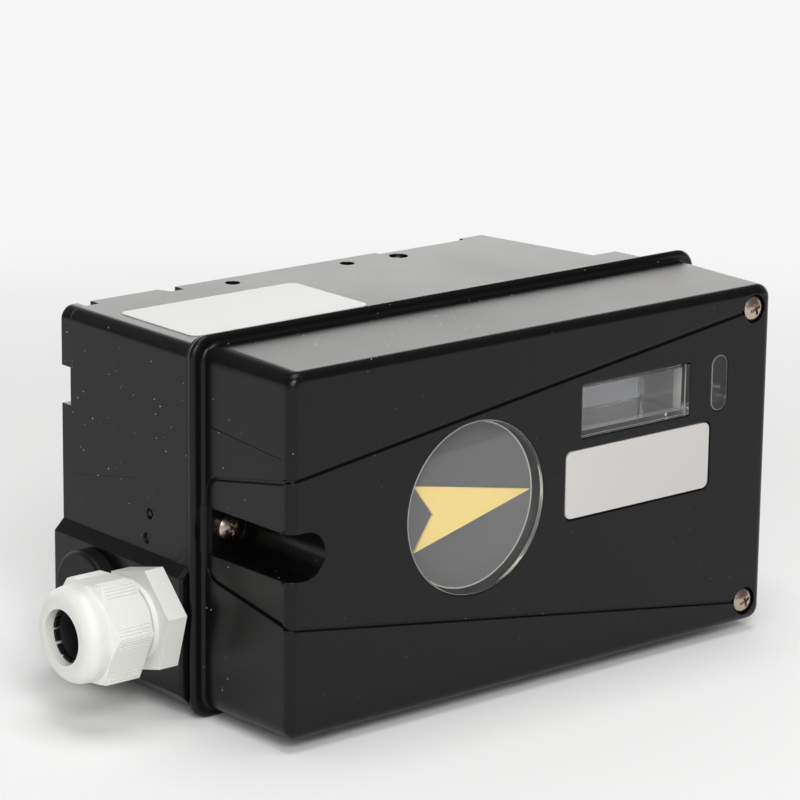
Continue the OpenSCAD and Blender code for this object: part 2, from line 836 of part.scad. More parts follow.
module housing_form() {
    intersection() {
        along_z(housing_z0, housing_z1) polygon([
            [housing_x0, y_joint], [rim_x1, y_joint], [rim_x1, y_joint + rim_depth],
            [shoulder_x + 1, y_joint + rim_depth], [shoulder_x, -shoulder_from_rear],
            [cover_x1 - port_wall_front, -shoulder_from_rear], [cover_x1 - port_wall_rear, 0],
            [housing_x0, 0]
        ]);
        along_y(y_joint, 0) round_rect(housing_x0, rim_x1, housing_z0, housing_z1, corner_r);
    }
}

module housing_cavity() {
    wall_x1 = shoulder_x - housing_wall;
    y_step = -shoulder_from_rear - housing_wall;
    intersection() {
        along_z(housing_z0 + housing_wall, housing_z1 - housing_wall) polygon([
            [housing_x0, y_joint - 1], [wall_x1, y_joint - 1], [wall_x1, y_step],
            [port_block_x, y_step], [port_block_x, y_floor], [housing_x0, y_floor]
        ]);
        along_y(y_joint - 2, 0)
            round_rect(housing_x0 + housing_wall, rim_x1, housing_z0 + housing_wall,
                housing_z1 - housing_wall, inner_corner_r);
    }
}

module entry_boss() {
    bevel = boss_out;
    along_y(y_joint, 0) polygon([
        [housing_x0 + 1, boss_top_z], [housing_x0, boss_top_z], [wall_x, boss_top_z - bevel],
        [wall_x, housing_z0 + corner_r], [housing_x0 + corner_r - boss_out, housing_z0],
        [housing_x0 + corner_r, housing_z0]
    ]);
}

// Ring and dimple cast in the left wall
module cast_marks() {
    along_x(housing_x0 - 1, housing_x0 + mark_depth) {
        translate([mark_y, mark_z]) difference() {
            circle(mark_r);
            circle(mark_r / 2);
        }
        translate([mark_y + mark_step / 5, mark_z - mark_step]) circle(mark_r);
    }
}

// Concave corner between the entry boss and the joint
module boss_corner() {
    along_x(cover_x0 - flange_side + gasket_setback, housing_x0 + eps) difference() {
        translate([y_joint, boss_top_z - boss_out]) square([boss_corner_r, boss_corner_r + boss_out]);
        translate([y_joint + boss_corner_r + eps, boss_top_z + boss_corner_r]) circle(boss_corner_r);
    }
}

module bolt_places() {
    for (turn = [45 : 90 : 315])
        translate([bolt_pcd / 2 * cos(turn), 0, bolt_pcd / 2 * sin(turn)]) children();
}

module port_places() {
    for (row = [-1, 0, 1]) translate([0, -port_from_rear, row * port_pitch]) children();
}

module rear_pocket() {
    along_y(-rear_recess, 1) difference() {
        intersection() {
            round_rect(housing_x0 + rear_rim, rim_x1, housing_z0 + rear_rim,
                housing_z1 - rear_rim, inner_corner_r);
            translate([housing_x0, housing_z0])
                square([cover_x1 - port_wall_rear - rear_rim - housing_x0, cover_h + housing_top]);
        }
        circle(pad_r);
        translate([housing_x0, entry_z - entry_r - rear_rib / 2])
            square([entry_end_x - housing_x0 + rear_rib / 2, 2 * entry_r + rear_rib]);
        translate([housing_x0, -rear_rib / 2]) square([cover_w, rear_rib]);
        translate([-rear_rib / 2, housing_z0]) square([rear_rib, cover_h + housing_top]);
        translate([bolt_pcd, housing_z0]) square([rear_rib, cover_h + housing_top]);
    }
}

module rear_notches() {
    y_notch = -rear_recess - 0.25;
    block(housing_x0 - 1, housing_x0 + rear_rim + 1, y_notch, 1, side_notch_z,
        side_notch_z + side_notch);
    block(housing_x0 - 1, housing_x0 + corner_notch, y_notch, 1, housing_z1 - rear_rim - 1,
        housing_z1 + 1);
    along_z(housing_z1 - rear_rim - 1, housing_z1 + 1) translate([top_notch_x, 0]) polygon([
        [-1, 1], [top_notch, 1], [top_notch, y_notch], [1, y_notch]
    ]);
    block(dip_x, dip_x + dip_len, -rear_recess / 2, 1, housing_z1 - rear_rim - 1, housing_z1 + 1);
}

module housing() {
    color("#303032") difference() {
        union() {
            difference() {
                union() {
                    housing_form();
                    entry_boss();
                    boss_corner();
                    cover_screw_places() rod_y(0, 0, pillar_r + 1, y_joint, y_screw_end + 3);
                }
                housing_cavity();
            }
            rod_y(0, 0, hub_r, y_hub, -rear_recess);
            bolt_places() rod_y(0, 0, bolt_r + 3, -bolt_depth - 2, -rear_recess);
            rod_y(slot_x, slot_z, pillar_r, y_joint, y_screw_end + 3);
            inner_post_places() rod_y(0, 0, pillar_r, y_inner + inner_t, y_floor + eps);
        }
        rod_y(0, 0, bush_r + running, y_hub - 1, y_lip);
        rod_y(0, 0, journal_r + lip_gap, y_lip - 1, 1);
        rod_y(0, 0, clip_r + screw_gap + lip_gap, -clip_space, 1);
        bolt_places() rod_y(0, 0, bolt_r, -bolt_depth, 1);
        cover_screw_places() rod_y(0, 0, screw_r + thread_gap, y_joint - 1, y_screw_end + 1);
        rod_y(slot_x, slot_z, screw_r + thread_gap, y_joint - 1, y_screw_end + 1);
        inner_post_places()
            rod_y(0, 0, small_screw_r + thread_gap, y_inner, y_inner + inner_t + small_grip + 1);
        port_places() {
            rod_x(0, 0, port_r, seat_x - port_depth, cover_x1);
            rod_x(0, 0, port_seat_r, seat_x, cover_x1);
            rod_x(0, 0, channel_r, port_block_x - 1, seat_x - port_depth + 1);
        }
        for (y = [-entry_front, -entry_rear]) rod_x(y, entry_z, entry_r, wall_x - 1, entry_end_x);
        rod_x(-entry_front, entry_z, gland_washer_r + washer_gap, wall_x - 1, wall_x + washer_t);
        rod_x(-entry_rear, entry_z, plug_washer_r + washer_gap, wall_x - 1, wall_x + washer_t);
        rear_pocket();
        rear_notches();
        cast_marks();
        top_hole_places() along_z(z_top_holes, housing_z1 + 1) circle(top_hole_r);
        earth_place() along_z(z_top_holes, housing_z1 + 1) circle(earth_head_r + screw_gap);
        earth_place() along_z(z_earth_end - 1, housing_z1) circle(small_screw_r + thread_gap);
        relay_screw_places() rod_y(0, 0, small_screw_r + thread_gap, y_floor - 1, y_small_end);
        standoff_places() rod_y(0, 0, small_screw_r + thread_gap, y_floor - 1, y_small_end);
        bracket_screw_places() rod_y(0, 0, small_screw_r + thread_gap, y_floor - 1, y_small_end);
    }
}

// Blind holes and earth screw in the top face, along the rear edge
module top_hole_places() {
    for (x = [top_hole_left, top_hole_right]) translate([x, y_top_holes]) children();
}

module earth_place() {
    translate([earth_x, y_top_holes - 1.2]) children();
}

module earth_screw() {
    color("#b9b2a4") earth_place() difference() {
        union() {
            along_z(z_top_holes, housing_z1 - 0.6) circle(earth_head_r);
            along_z(z_earth_end, z_top_holes + eps) circle(small_screw_r);
        }
        along_z(housing_z1 - 1.6, housing_z1) square([2 * earth_head_r + 1, 0.7], center = true);
    }
}

// Spindle

module spindle_bush() {
    color("#b08d57") along_y(y_hub, y_bush) difference() {
        circle(bush_r);
        circle(journal_r + running);
    }
}

module spindle_seal() {
    color("#161616") translate([0, y_seal, 0]) rotate([90, 0, 0])
        rotate_extrude() translate([(bush_r + journal_r) / 2 + running / 2, 0]) circle(seal_r);
}

module spindle() {
    color("#b4b6b8") {
        difference() {
            rod_y(0, 0, journal_r, y_collar, y_stub);
            along_y(y_clip, y_clip + clip_t) difference() {
                circle(journal_r + 1);
                circle(clip_groove_r);
            }
        }
        rod_y(0, 0, bush_r - 0.3, y_gear, y_collar);
        rod_y(0, 0, shaft_r, y_disc_back, y_gear);
        rod_y(0, 0, stub_r, y_stub - eps, y_stub + stub_len);
        along_y(y_stub + stub_len, y_stub + stub_len + tongue_len) intersection() {
            circle(tongue_r);
            square([tongue_w, 3 * stub_r], center = true);
        }
    }
}

module spindle_clip() {
    color("#6e7072") along_y(y_clip, y_clip + clip_t) difference() {
        circle(clip_r);
        circle(clip_groove_r + push_fit);
        translate([-journal_r / 4, 0]) square([journal_r / 2, 2 * journal_r]);
    }
}

// Half angle of an involute tooth at radius r
function roll(base, r) = let (a = acos(min(1, base / r))) tan(a) * 180 / PI - a;
function tooth_half(pitch_r, teeth, r) = 90 / teeth - backlash / pitch_r * 90 / PI / 2
    + roll(pitch_r * cos(20), pitch_r) - roll(pitch_r * cos(20), max(r, pitch_r * cos(20)));

module gear_shape(teeth, turn) {
    pitch_r = gear_module * teeth / 2;
    radii = [pitch_r - 1.25 * gear_module, pitch_r - 0.4 * gear_module, pitch_r + 0.1 * gear_module,
        pitch_r + 0.9 * gear_module];
    count = len(radii);
    polygon([
        for (i = [0 : teeth - 1], k = [0 : 2 * count - 1])
            let (
                side = k < count ? -1 : 1,
                r = radii[k < count ? k : 2 * count - 1 - k],
                a = turn + 360 / teeth * i + side * tooth_half(pitch_r, teeth, r)
            )
            [r * cos(a), r * sin(a)]
    ]);
}

module spindle_gear() {
    color("#e9e6dc") along_y(y_gear_front, y_gear) difference() {
        gear_shape(spindle_teeth, 0);
        circle(shaft_r + push_fit);
    }
}

module arrow_disc() {
    color("#6b6b6d") difference() {
        union() {
            rod_y(0, 0, disc_r, y_disc, y_disc_back);
            rod_y(0, 0, disc_hub_r, y_disc_back - eps, y_disc_back + disc_hub_len);
        }
        rod_y(0, 0, shaft_r + push_fit, y_disc_back, y_disc_back + disc_hub_len + 1);
    }
}

module arrow() {
    color("#fbe38b") along_y(y_disc - arrow_t, y_disc) rotate(arrow_turn) polygon([
        [arrow_tip, 0], [-arrow_tail, arrow_half], [-arrow_tail + arrow_notch, 0],
        [-arrow_tail, -arrow_half]
    ]);
}

// Potentiometer on its bracket

module bracket_screw_places() {
    for (z = [-1, 1])
        translate([sensor_x - bracket_half - foot_len / 2, 0, z * (sensor_r - 3)]) children();
}

module sensor_bracket() {
    color("#b9bcbe") difference() {
        translate([sensor_x, 0]) along_z(-sensor_r, sensor_r) {
            translate([-bracket_half, y_plate]) square([bracket_half + sensor_r, bracket_t]);
            translate([-bracket_half, y_plate]) square([bracket_t, y_floor - y_plate]);
            translate([-bracket_half - foot_len, y_floor - bracket_t])
                square([foot_len + bracket_t, bracket_t]);
        }
        rod_y(sensor_x, 0, sensor_neck_r + 0.05, y_plate - 1, y_plate + bracket_t + 1);
        bracket_screw_places() rod_y(0, 0, small_screw_r + screw_gap, y_floor - 3, y_floor + 1);
    }
}

module sensor_body() {
    color("#2d4a6b") difference() {
        union() {
            rod_y(sensor_x, 0, sensor_r, y_plate + bracket_t, y_plate + bracket_t + sensor_len);
            rod_y(sensor_x, 0, sensor_neck_r, y_neck, y_plate + bracket_t + eps);
        }
        rod_y(sensor_x, 0, sensor_shaft_r + running, y_neck - 1, y_plate + bracket_t + sensor_len / 2);
    }
}

module sensor_nut() {
    color("#c9c4bb") difference() {
        hex_y(sensor_x, 0, nut_hex, y_plate - nut_t, y_plate);
        rod_y(sensor_x, 0, sensor_neck_r + 0.05, y_plate - nut_t - 1, y_plate + 1);
    }
}

module sensor_gear() {
    color("#e9e6dc") {
        translate([sensor_x, 0, 0]) along_y(y_gear_front, y_gear)
            gear_shape(sensor_teeth, 180 / sensor_teeth);
        rod_y(sensor_x, 0, sensor_shaft_r, y_gear - eps, y_plate + bracket_t + sensor_len / 2 - 0.5);
    }
}

module bracket_screws() {
    color("#c9c4bb") bracket_screw_places()
        pan_screw(y_floor - bracket_t, y_floor + small_grip, small_screw_r, 2 * small_screw_r, small_head_h);
}

// Circuit boards

module standoff_places() {
    for (x = [board_x0 + standoff_inset, board_x1 - standoff_inset],
         z = [board_z0 + standoff_inset, board_z1 - standoff_inset])
        translate([x, 0, z]) children();
}

module board_standoffs() {
    color("#c8a24a") standoff_places() {
        hex_y(0, 0, standoff_hex, board_y, y_floor);
        rod_y(0, 0, small_screw_r, y_floor - eps, y_floor + small_grip);
    }
}

module main_board() {
    color("#2f6b3c") difference() {
        block(board_x0, board_x1, board_y - board_t, board_y, board_z0, board_z1);
        rod_y(0, 0, spindle_hole_r, board_y - board_t - 1, board_y + 1);
        standoff_places() rod_y(0, 0, small_screw_r + screw_gap, board_y - board_t - 1, board_y + 1);
    }
}

module board_screws() {
    color("#c9c4bb") standoff_places()
        pan_screw(board_y - board_t, board_y - 0.2, small_screw_r, 2 * small_screw_r, small_head_h);
}

module terminal_block() {
    y0 = board_y - board_t - terminal_d;
    z0 = board_z0 + 2 * standoff_inset;
    pitch = terminal_w / terminal_count;
    color("#3f7d4f") difference() {
        block(terminal_x0, terminal_x0 + terminal_w, y0, board_y - board_t, z0, z0 + terminal_h);
        for (i = [0 : terminal_count - 1]) translate([terminal_x0 + pitch * (i + 0.5), 0, 0]) {
            rod_y(0, z0 + terminal_h - 3, pitch * 0.35, y0 - 1, y0 + 2);
            block(-pitch * 0.3, pitch * 0.3, y0 + 3, y0 + terminal_d - 2, z0 - 1, z0 + 5);
        }
    }
}

module inner_post_places() {
    translate([inner_x0 + pillar_r + 0.5, 0, inner_z1 - pillar_r]) children();
    for (z = [inner_z0 + pillar_r, inner_z1 - pillar_r])
        translate([port_block_x + 2 * pillar_r, 0, z]) children();
}

module unit_post_places() {
    for (x = [unit_x0 + post_inset, unit_x1 - post_inset],
         z = [unit_z0 + post_inset, unit_z1 - post_inset])
        translate([x, 0, z]) children();
}

module inner_cover() {
    color("#26282b") difference() {
        union() {
            along_y(y_inner, y_inner + inner_t)
                round_rect(inner_x0, inner_x1, inner_z0, inner_z1, inner_r);
            unit_post_places() rod_y(0, 0, post_r, y_unit + board_t, y_inner + eps);
        }
        rod_y(0, 0, spindle_hole_r, y_inner - 1, y_inner + inner_t + 1);
        along_y(y_inner - 1, y_inner + inner_t + 1) {
            translate([slot_x, slot_z]) circle(pillar_r + 1);
            translate([inner_x0 - 1, slot_z - pillar_r - 1])
                square([slot_x - inner_x0 + 1, 2 * pillar_r + 2]);
        }
        inner_post_places() rod_y(0, 0, small_screw_r + screw_gap, y_inner - 1, y_inner + inner_t + 1);
    }
}

module inner_cover_screws() {
    color("#c9c4bb") inner_post_places()
        pan_screw(y_inner, y_inner + inner_t + small_grip, small_screw_r, 2 * small_screw_r, small_head_h);
}

module display_board() {
    color("#2f6b3c") block(unit_x0, unit_x1, y_unit, y_unit + board_t, unit_z0, unit_z1);
}

module display_module() {
    color("#a9adb0") along_y(y_glass, y_unit) difference() {
        display_shape(module_rim);
        display_shape(-display_wall);
    }
}

module display_glass() {
    color("#8a8c8f") along_y(y_glass + 0.4, y_unit) display_shape(-display_wall - 0.05);
}

module button_place(i) {
    translate([button_x0 + i * button_pitch, 0, button_z]) children();
}

module button_switches() {
    color("#1d1d1f") for (i = [0 : 4]) button_place(i) difference() {
        block(-switch_w / 2, switch_w / 2, y_switch, y_unit, -switch_w / 2, switch_w / 2);
        rod_y(0, 0, plunger_r + 0.05, y_switch - 1, y_unit - 0.5);
    }
}

module push_button(i) {
    color("#8d2f2a") button_place(i) {
        rod_y(0, 0, button_r, y_button, y_button + button_len);
        rod_y(0, 0, plunger_r, y_button + eps, y_unit - 0.8 - button_travel);
    }
}

// Pneumatic relay

module relay_gasket() {
    color("#18181a") along_x(relay_x1, port_block_x) difference() {
        translate([relay_y0, -relay_h / 2]) square([relay_d, relay_h]);
        for (row = [-1, 0, 1]) translate([-port_from_rear, row * port_pitch]) circle(channel_r);
    }
}

module relay_screw_places() {
    for (x = [relay_x0 + relay_inset, relay_x1 - relay_inset], z = [-1, 1])
        translate([x, 0, z * (relay_h / 2 - relay_inset)]) children();
}

module relay_block() {
    color("#a7abae") difference() {
        block(relay_x0, relay_x1, relay_y0, y_floor, -relay_h / 2, relay_h / 2);
        translate([spool_x, spool_y]) along_z(-relay_h, relay_h) circle(spool_r + running);
        for (row = [-1, 0, 1])
            rod_x(-port_from_rear, row * port_pitch, channel_r, spool_x, relay_x1 + 1);
        relay_screw_places() rod_y(0, 0, small_screw_r + screw_gap, relay_y0 - 1, y_floor + 1);
    }
}

module relay_spool() {
    color("#c3c6c8") translate([spool_x, spool_y]) difference() {
        along_z(-spool_len / 2, spool_len / 2) circle(spool_r);
        for (z = [-1.5, -0.5, 0.5, 1.5])
            translate([0, 0, z * spool_len / 4 - spool_land / 4]) linear_extrude(spool_land / 2)
                difference() {
                    circle(spool_r + 1);
                    circle(spool_r * 0.6);
                }
    }
}

module relay_end_caps() {
    color("#35373a") for (side = [0, 1]) mirror([0, 0, side])
        block(spool_x - spool_r - 3, spool_x + spool_r + 3, relay_y0, relay_y1, relay_h / 2,
            relay_h / 2 + end_cap_t);
}

module relay_screws() {
    color("#c9c4bb") relay_screw_places()
        pan_screw(relay_y0, y_floor + small_grip, small_screw_r, 2 * small_screw_r, small_head_h);
}

module pilot_valve() {
    color("#3a3d41")
        block(spool_x - pilot_w / 2, spool_x + pilot_w / 2, relay_y0 - pilot_d, relay_y0,
            -pilot_h / 2, pilot_h / 2);
}

// Cable gland and blanking plug

module turned_out(x, y) {
    translate([x, y, entry_z]) rotate([0, -90, 0]) rotate_extrude() children();
}

module entry_ring(y, outer_r, inner_r, x0, x1) {
    along_x(x0, x1) translate([y, entry_z]) difference() {
        circle(outer_r);
        circle(inner_r);
    }
}

module gland_washer() {
    color("#18181a") entry_ring(-entry_front, gland_washer_r, entry_r, wall_x, wall_x + washer_t);
}

module gland_body() {
    color("#e4e4e0") difference() {
        union() {
            along_x(neck_x, wall_x) translate([-entry_front, entry_z]) rotate(gland_turn)
                circle(gland_hex / 2 / cos(30), $fn = 6);
            rod_x(-entry_front, entry_z, entry_r - thread_gap, wall_x - eps, wall_x + gland_thread);
            rod_x(-entry_front, entry_z, gland_collar_r, neck_x - gland_collar_t, neck_x + eps);
            rod_x(-entry_front, entry_z, gland_neck_r, neck_end_x, neck_x + eps);
        }
        rod_x(-entry_front, entry_z, gland_bore_r, neck_x, wall_x + gland_thread + 1);
        rod_x(-entry_front, entry_z, seal_wall_r, neck_end_x - 1, neck_x + eps);
    }
}

module gland_seal() {
    color("#2a2a2c")
        entry_ring(-entry_front, seal_wall_r - thread_gap, cable_r, neck_end_x, neck_x - end_play);
}

module gland_clamp() {
    foot_r = gland_neck_r - end_play;
    tip_r = gland_mouth_r - thread_gap;
    tip = clamp_len - end_play;
    color("#3a3a3c") difference() {
        turned_out(neck_end_x, -entry_front) polygon([
            [tip_r - clamp_wall, 0], [foot_r, 0], [foot_r, clamp_foot],
            [tip_r, tip], [tip_r - clamp_wall, tip]
        ]);
        for (turn = [0 : 30 : 150])
            translate([neck_end_x - clamp_foot, -entry_front, entry_z]) rotate([turn, 0, 0])
                translate([-clamp_len, -clamp_cut / 2, -gland_neck_r])
                    cube([clamp_len, clamp_cut, 2 * gland_neck_r]);
    }
}

module nut_outline() {
    polygon([
        [0, 0], [nut_corner_r, 0], [nut_corner_r, gland_flat_len],
        [nut_dome_r, gland_flat_len + nut_chamfer], [nut_dome_r, gland_nut_len - gland_dome_r],
        [0, gland_nut_len - gland_dome_r]
    ]);
    square([nut_dome_r - gland_dome_r, gland_nut_len]);
    intersection() {
        translate([nut_dome_r - gland_dome_r, gland_nut_len - gland_dome_r]) circle(gland_dome_r);
        square([nut_dome_r, gland_nut_len]);
    }
}

module gland_nut() {
    inner_r = gland_neck_r + thread_gap;
    color("#e8e8e4") intersection() {
        turned_out(nut_x, -entry_front) difference() {
            nut_outline();
            square([gland_mouth_r, gland_nut_len + 1]);
            polygon([
                [0, -1], [inner_r, -1], [inner_r, gland_neck - gland_gap + clamp_foot],
                [gland_mouth_r, gland_nut_len - nut_lip], [0, gland_nut_len - nut_lip]
            ]);
        }
        along_x(nut_end_x - 1, nut_x + 1) translate([-entry_front, entry_z]) rotate(gland_nut_turn)
            circle(nut_corner_r, $fn = 6);
    }
}

module blanking_plug() {
    color("#1b1b1d") difference() {
        union() {
            turned_out(wall_x, -entry_rear) {
                square([plug_r, plug_h - plug_edge_r]);
                square([plug_r - plug_edge_r, plug_h]);
                translate([plug_r - plug_edge_r, plug_h - plug_edge_r]) circle(plug_edge_r);
            }
            rod_x(-entry_rear, entry_z, entry_r - thread_gap, wall_x - eps, wall_x + gland_thread);
        }
        along_x(wall_x - plug_h - 1, wall_x - eps)
            translate([-entry_rear, entry_z]) circle(plug_key_r, $fn = 6);
    }
}

module plug_washer() {
    color("#18181a") entry_ring(-entry_rear, plug_washer_r, entry_r, wall_x, wall_x + washer_t);
}

front_cover();
indicator_window();
display_window();
lamp_window();
name_plate();
cover_screws();
cover_gasket();
housing();
spindle_bush();
spindle_seal();
spindle();
spindle_clip();
spindle_gear();
arrow_disc();
arrow();
sensor_bracket();
sensor_body();
sensor_gear();
sensor_nut();
bracket_screws();
main_board();
board_standoffs();
board_screws();
terminal_block();
inner_cover();
inner_cover_screws();
display_board();
display_module();
display_glass();
button_switches();
push_button(0);  // button_escape
push_button(1);  // button_down
push_button(2);  // button_menu
push_button(3);  // button_up
push_button(4);  // button_enter
relay_gasket();
relay_block();
relay_spool();
relay_end_caps();
relay_screws();
pilot_valve();
gland_body();
gland_washer();
gland_seal();
gland_clamp();
gland_nut();
blanking_plug();
plug_washer();
earth_screw();
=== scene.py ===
"""Finishes, trim and studio for a digital valve positioner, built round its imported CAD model."""

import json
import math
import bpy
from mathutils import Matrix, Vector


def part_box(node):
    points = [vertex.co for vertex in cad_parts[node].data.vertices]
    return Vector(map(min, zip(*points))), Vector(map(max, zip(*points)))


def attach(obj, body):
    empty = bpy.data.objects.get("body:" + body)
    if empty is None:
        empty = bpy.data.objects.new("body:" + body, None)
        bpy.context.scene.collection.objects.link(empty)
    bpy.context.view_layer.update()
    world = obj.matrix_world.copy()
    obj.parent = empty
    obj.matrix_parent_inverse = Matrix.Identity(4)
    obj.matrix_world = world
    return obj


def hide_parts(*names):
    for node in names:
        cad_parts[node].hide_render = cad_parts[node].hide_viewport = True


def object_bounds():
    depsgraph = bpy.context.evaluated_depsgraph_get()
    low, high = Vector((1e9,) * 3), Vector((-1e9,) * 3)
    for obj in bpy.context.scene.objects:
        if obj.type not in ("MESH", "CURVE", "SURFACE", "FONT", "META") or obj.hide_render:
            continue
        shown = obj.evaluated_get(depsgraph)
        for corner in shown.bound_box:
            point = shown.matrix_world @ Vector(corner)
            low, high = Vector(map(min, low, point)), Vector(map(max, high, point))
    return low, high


bl_info = {
    "name": "Valve positioner",
    "version": (1, 0, 0),
    "blender": (4, 5, 0),
    "location": "3D View > Sidebar > Positioner",
    "description": "Dresses the packed valve positioner and sets up its studio",
    "category": "Object",
}

import bmesh
import bpy
from bpy.props import FloatProperty, FloatVectorProperty, IntProperty, PointerProperty
from mathutils import Matrix, Vector

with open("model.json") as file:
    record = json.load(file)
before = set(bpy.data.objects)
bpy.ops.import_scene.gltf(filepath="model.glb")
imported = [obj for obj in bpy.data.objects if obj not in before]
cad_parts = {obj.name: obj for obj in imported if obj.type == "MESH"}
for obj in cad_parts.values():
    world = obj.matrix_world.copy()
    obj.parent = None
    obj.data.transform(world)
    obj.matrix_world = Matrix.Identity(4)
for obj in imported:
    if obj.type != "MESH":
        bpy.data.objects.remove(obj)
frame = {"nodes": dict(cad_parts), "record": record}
CAD_BOX = [list(corner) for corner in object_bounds()]
SLOT_OF = {row["node"]: row["material_slot"] for row in frame["record"]["subparts"]}
BODY_OF = {name: body for body, names in frame["record"]["behaviour"]["bodies"].items()
           for name in names}

MM = 0.001
# Room between pieces that nearly touch, and how deep a film sinks into its wall
SKIN = 0.05 * MM
# Points nearer to each other than this count as one place
NEAR = 0.001 * MM
# Edges that bend less than this are shaded smooth
SMOOTH = math.radians(35)
# Share of a mesh's whole area from which a face keeps its own direction in smooth shading
WIDE_SHARE = 0.003


def linear(hex_colour):
    """Turn an sRGB hex colour into linear red, green and blue."""
    digits = hex_colour.lstrip("#")
    channels = [int(digits[i:i + 2], 16) / 255 for i in (0, 2, 4)]
    return tuple(c / 12.92 if c <= 0.04045 else ((c + 0.055) / 1.055) ** 2.4 for c in channels)


def add_node(tree, kind, settings=None, links=None):
    """Add a shader node, set its inputs or attributes, and link sockets to its inputs."""
    made = tree.nodes.new(kind)
    for key, value in (settings or {}).items():
        if isinstance(key, int) or key in made.inputs:
            made.inputs[key].default_value = value
        else:
            setattr(made, key, value)
    for key, socket in (links or {}).items():
        tree.links.new(socket, made.inputs[key])
    return made


# Finishes by material slot of the record, then by piece of trim: name, colour, how dark the grain
# goes, roughness, metallic, grain and relief in millimetres, the grain's stretch, further sockets
ROUND = (1, 1, 1)
ALONG_Y = (1, 0.1, 1)
FINISHES = {
    # Even, faintly warm silver that takes soft light without mirroring it
    "plate": ("matt_silver_film", "#d4d1ce", 0.94, 0.5, 0.15, 0.8, 0.004, ROUND, {}),
    # Warm bright screw heads with a fine turned sparkle
    "stainless": ("turned_stainless_steel", "#c3b5a5", 0.85, 0.26, 1, 0.5, 0.003, ROUND, {}),
    # Dull black that swallows light, so that the joint reads as a line
    "rubber": ("moulded_black_rubber", "#1b1b1c", 0.5, 0.7, 0, 0.8, 0.02, ROUND, {}),
    # Brown-gold with open grain, as pressed from powder
    "bronze": ("sintered_bronze", "#b8884e", 0.55, 0.45, 1, 0.3, 0.02, ROUND, {}),
    # Bright steel with faint marks along the shaft
    "steel": ("ground_steel", "#bfc1c3", 0.7, 0.28, 1, 0.5, 0.004, ALONG_Y, {}),
    # Dark grey with a soft sheen, as phosphating leaves it
    "spring_steel": ("phosphated_spring_steel", "#5a5a5c", 0.5, 0.5, 1, 0.5, 0.01, ROUND, {}),
    # Milky white that lets a little light in at the teeth
    "gear_plastic": ("natural_acetal", "#ece9df", 0.86, 0.42, 0, 2, 0.01, ROUND,
                     {"Subsurface Weight": 0.1, "Subsurface Radius": (0.002, 0.002, 0.0018)}),
    # Quiet mid grey behind the arrow
    "disc_grey": ("matt_grey_plastic", "#565658", 0.93, 0.55, 0, 0.6, 0.006, ROUND, {}),
    # Clear pale yellow, the one colour on the front
    "arrow_yellow": ("pale_yellow_film", "#fbdd84", 0.97, 0.5, 0, 1.5, 0.004, ROUND, {}),
    # Cool bright plating with soft spangles
    "zinc_plated": ("zinc_plated_steel", "#c3c8cb", 0.68, 0.35, 1, 3, 0.006, ROUND, {}),
    # Muted blue case of the potentiometer
    "sensor_blue": ("blue_moulded_case", "#35557c", 0.68, 0.4, 0, 1, 0.01, ROUND, {}),
    # Glossy green lacquer over the tracks
    "board_green": ("green_solder_mask", "#2f7443", 0.6, 0.3, 0, 2.5, 0.02, ROUND,
                    {"Coat Weight": 0.3}),
    # Yellow metal with a turned gloss
    "brass": ("turned_brass", "#d9b25a", 0.65, 0.3, 1, 0.5, 0.006, ROUND, {}),
    # Softer, paler green than the boards
    "terminal_green": ("green_polyamide", "#41875a", 0.72, 0.5, 0, 1, 0.01, ROUND, {}),
    # Black without the coat's sheen
    "black_plastic": ("black_moulded_plastic", "#111213", 0.6, 0.5, 0, 0.8, 0.02, ROUND,
                      {"IOR": 1.33}),
    # Thin sheet metal round the display
    "display_bezel": ("pressed_metal_frame", "#b4b8bb", 0.72, 0.4, 1, 0.6, 0.006, ROUND, {}),
    # Blank grey crystal with a glassy face
    "display_glass": ("grey_crystal_glass", "#e2e4ea", 0.94, 0.18, 0, 8, 0.001, ROUND, {}),
    # Dark red that makes the buttons easy to find on the board
    "button_red": ("dark_red_cap", "#a03630", 0.7, 0.4, 0, 1, 0.01, ROUND, {}),
    # Silver with tool marks along the depth
    "aluminium": ("machined_aluminium", "#b9bdc1", 0.72, 0.36, 1, 0.5, 0.01, ALONG_Y, {}),
    # Pale, faintly translucent grey-white of a moulded gland
    "gland_grey": ("pale_grey_polyamide", "#e7e7e2", 0.94, 0.42, 0, 1.5, 0.008, ROUND,
                   {"Subsurface Weight": 0.08, "Subsurface Radius": (0.002, 0.002, 0.0018)}),
    # White film without gloss, so that it stays the palest thing on the top
    "label": ("white_label_film", "#e4e4e2", 0.96, 0.7, 0, 3, 0.003, ROUND, {"IOR": 1.35}),
    # Pale grey on the lamp slot's rounded rim: a painted highlight that draws the slot's outline in
    # a lighter grey
    "lamp_rim": ("frosted_moulded_edge", "#7b7b7e", 0.9, 0.3, 0, 0.5, 0.01, ROUND, {}),
    # Pale grey on the pane's rounded front edge: a painted highlight, a thin pale line round the
    # pane
    "pane_rim": ("ground_pane_edge", "#a6a6a8", 0.9, 0.25, 0, 0.5, 0.01, ROUND, {}),
    # Bare edge of the disc, a thin pale line against the dark well
    "disc_rim": ("bare_disc_edge", "#c4c3b2", 0.95, 0.5, 0, 0.6, 0.004, ROUND, {}),
    # Pale grey at the front of the display's walls: painted light that stands in for their brightly
    # lit front
    "seal": ("white_silicone_rubber", "#acaca8", 0.95, 0.6, 0, 1, 0.006, ROUND, {}),
    # Flat grey that keeps the display's box darker than the display
    "shroud": ("matt_grey_moulding", "#414244", 0.85, 0.4, 0, 1.2, 0.01, ROUND, {}),
}


def length(name, description, millimetres):
    """Length that a user can change."""
    return FloatProperty(name=name, description=description, default=millimetres * MM,
                         unit="LENGTH")


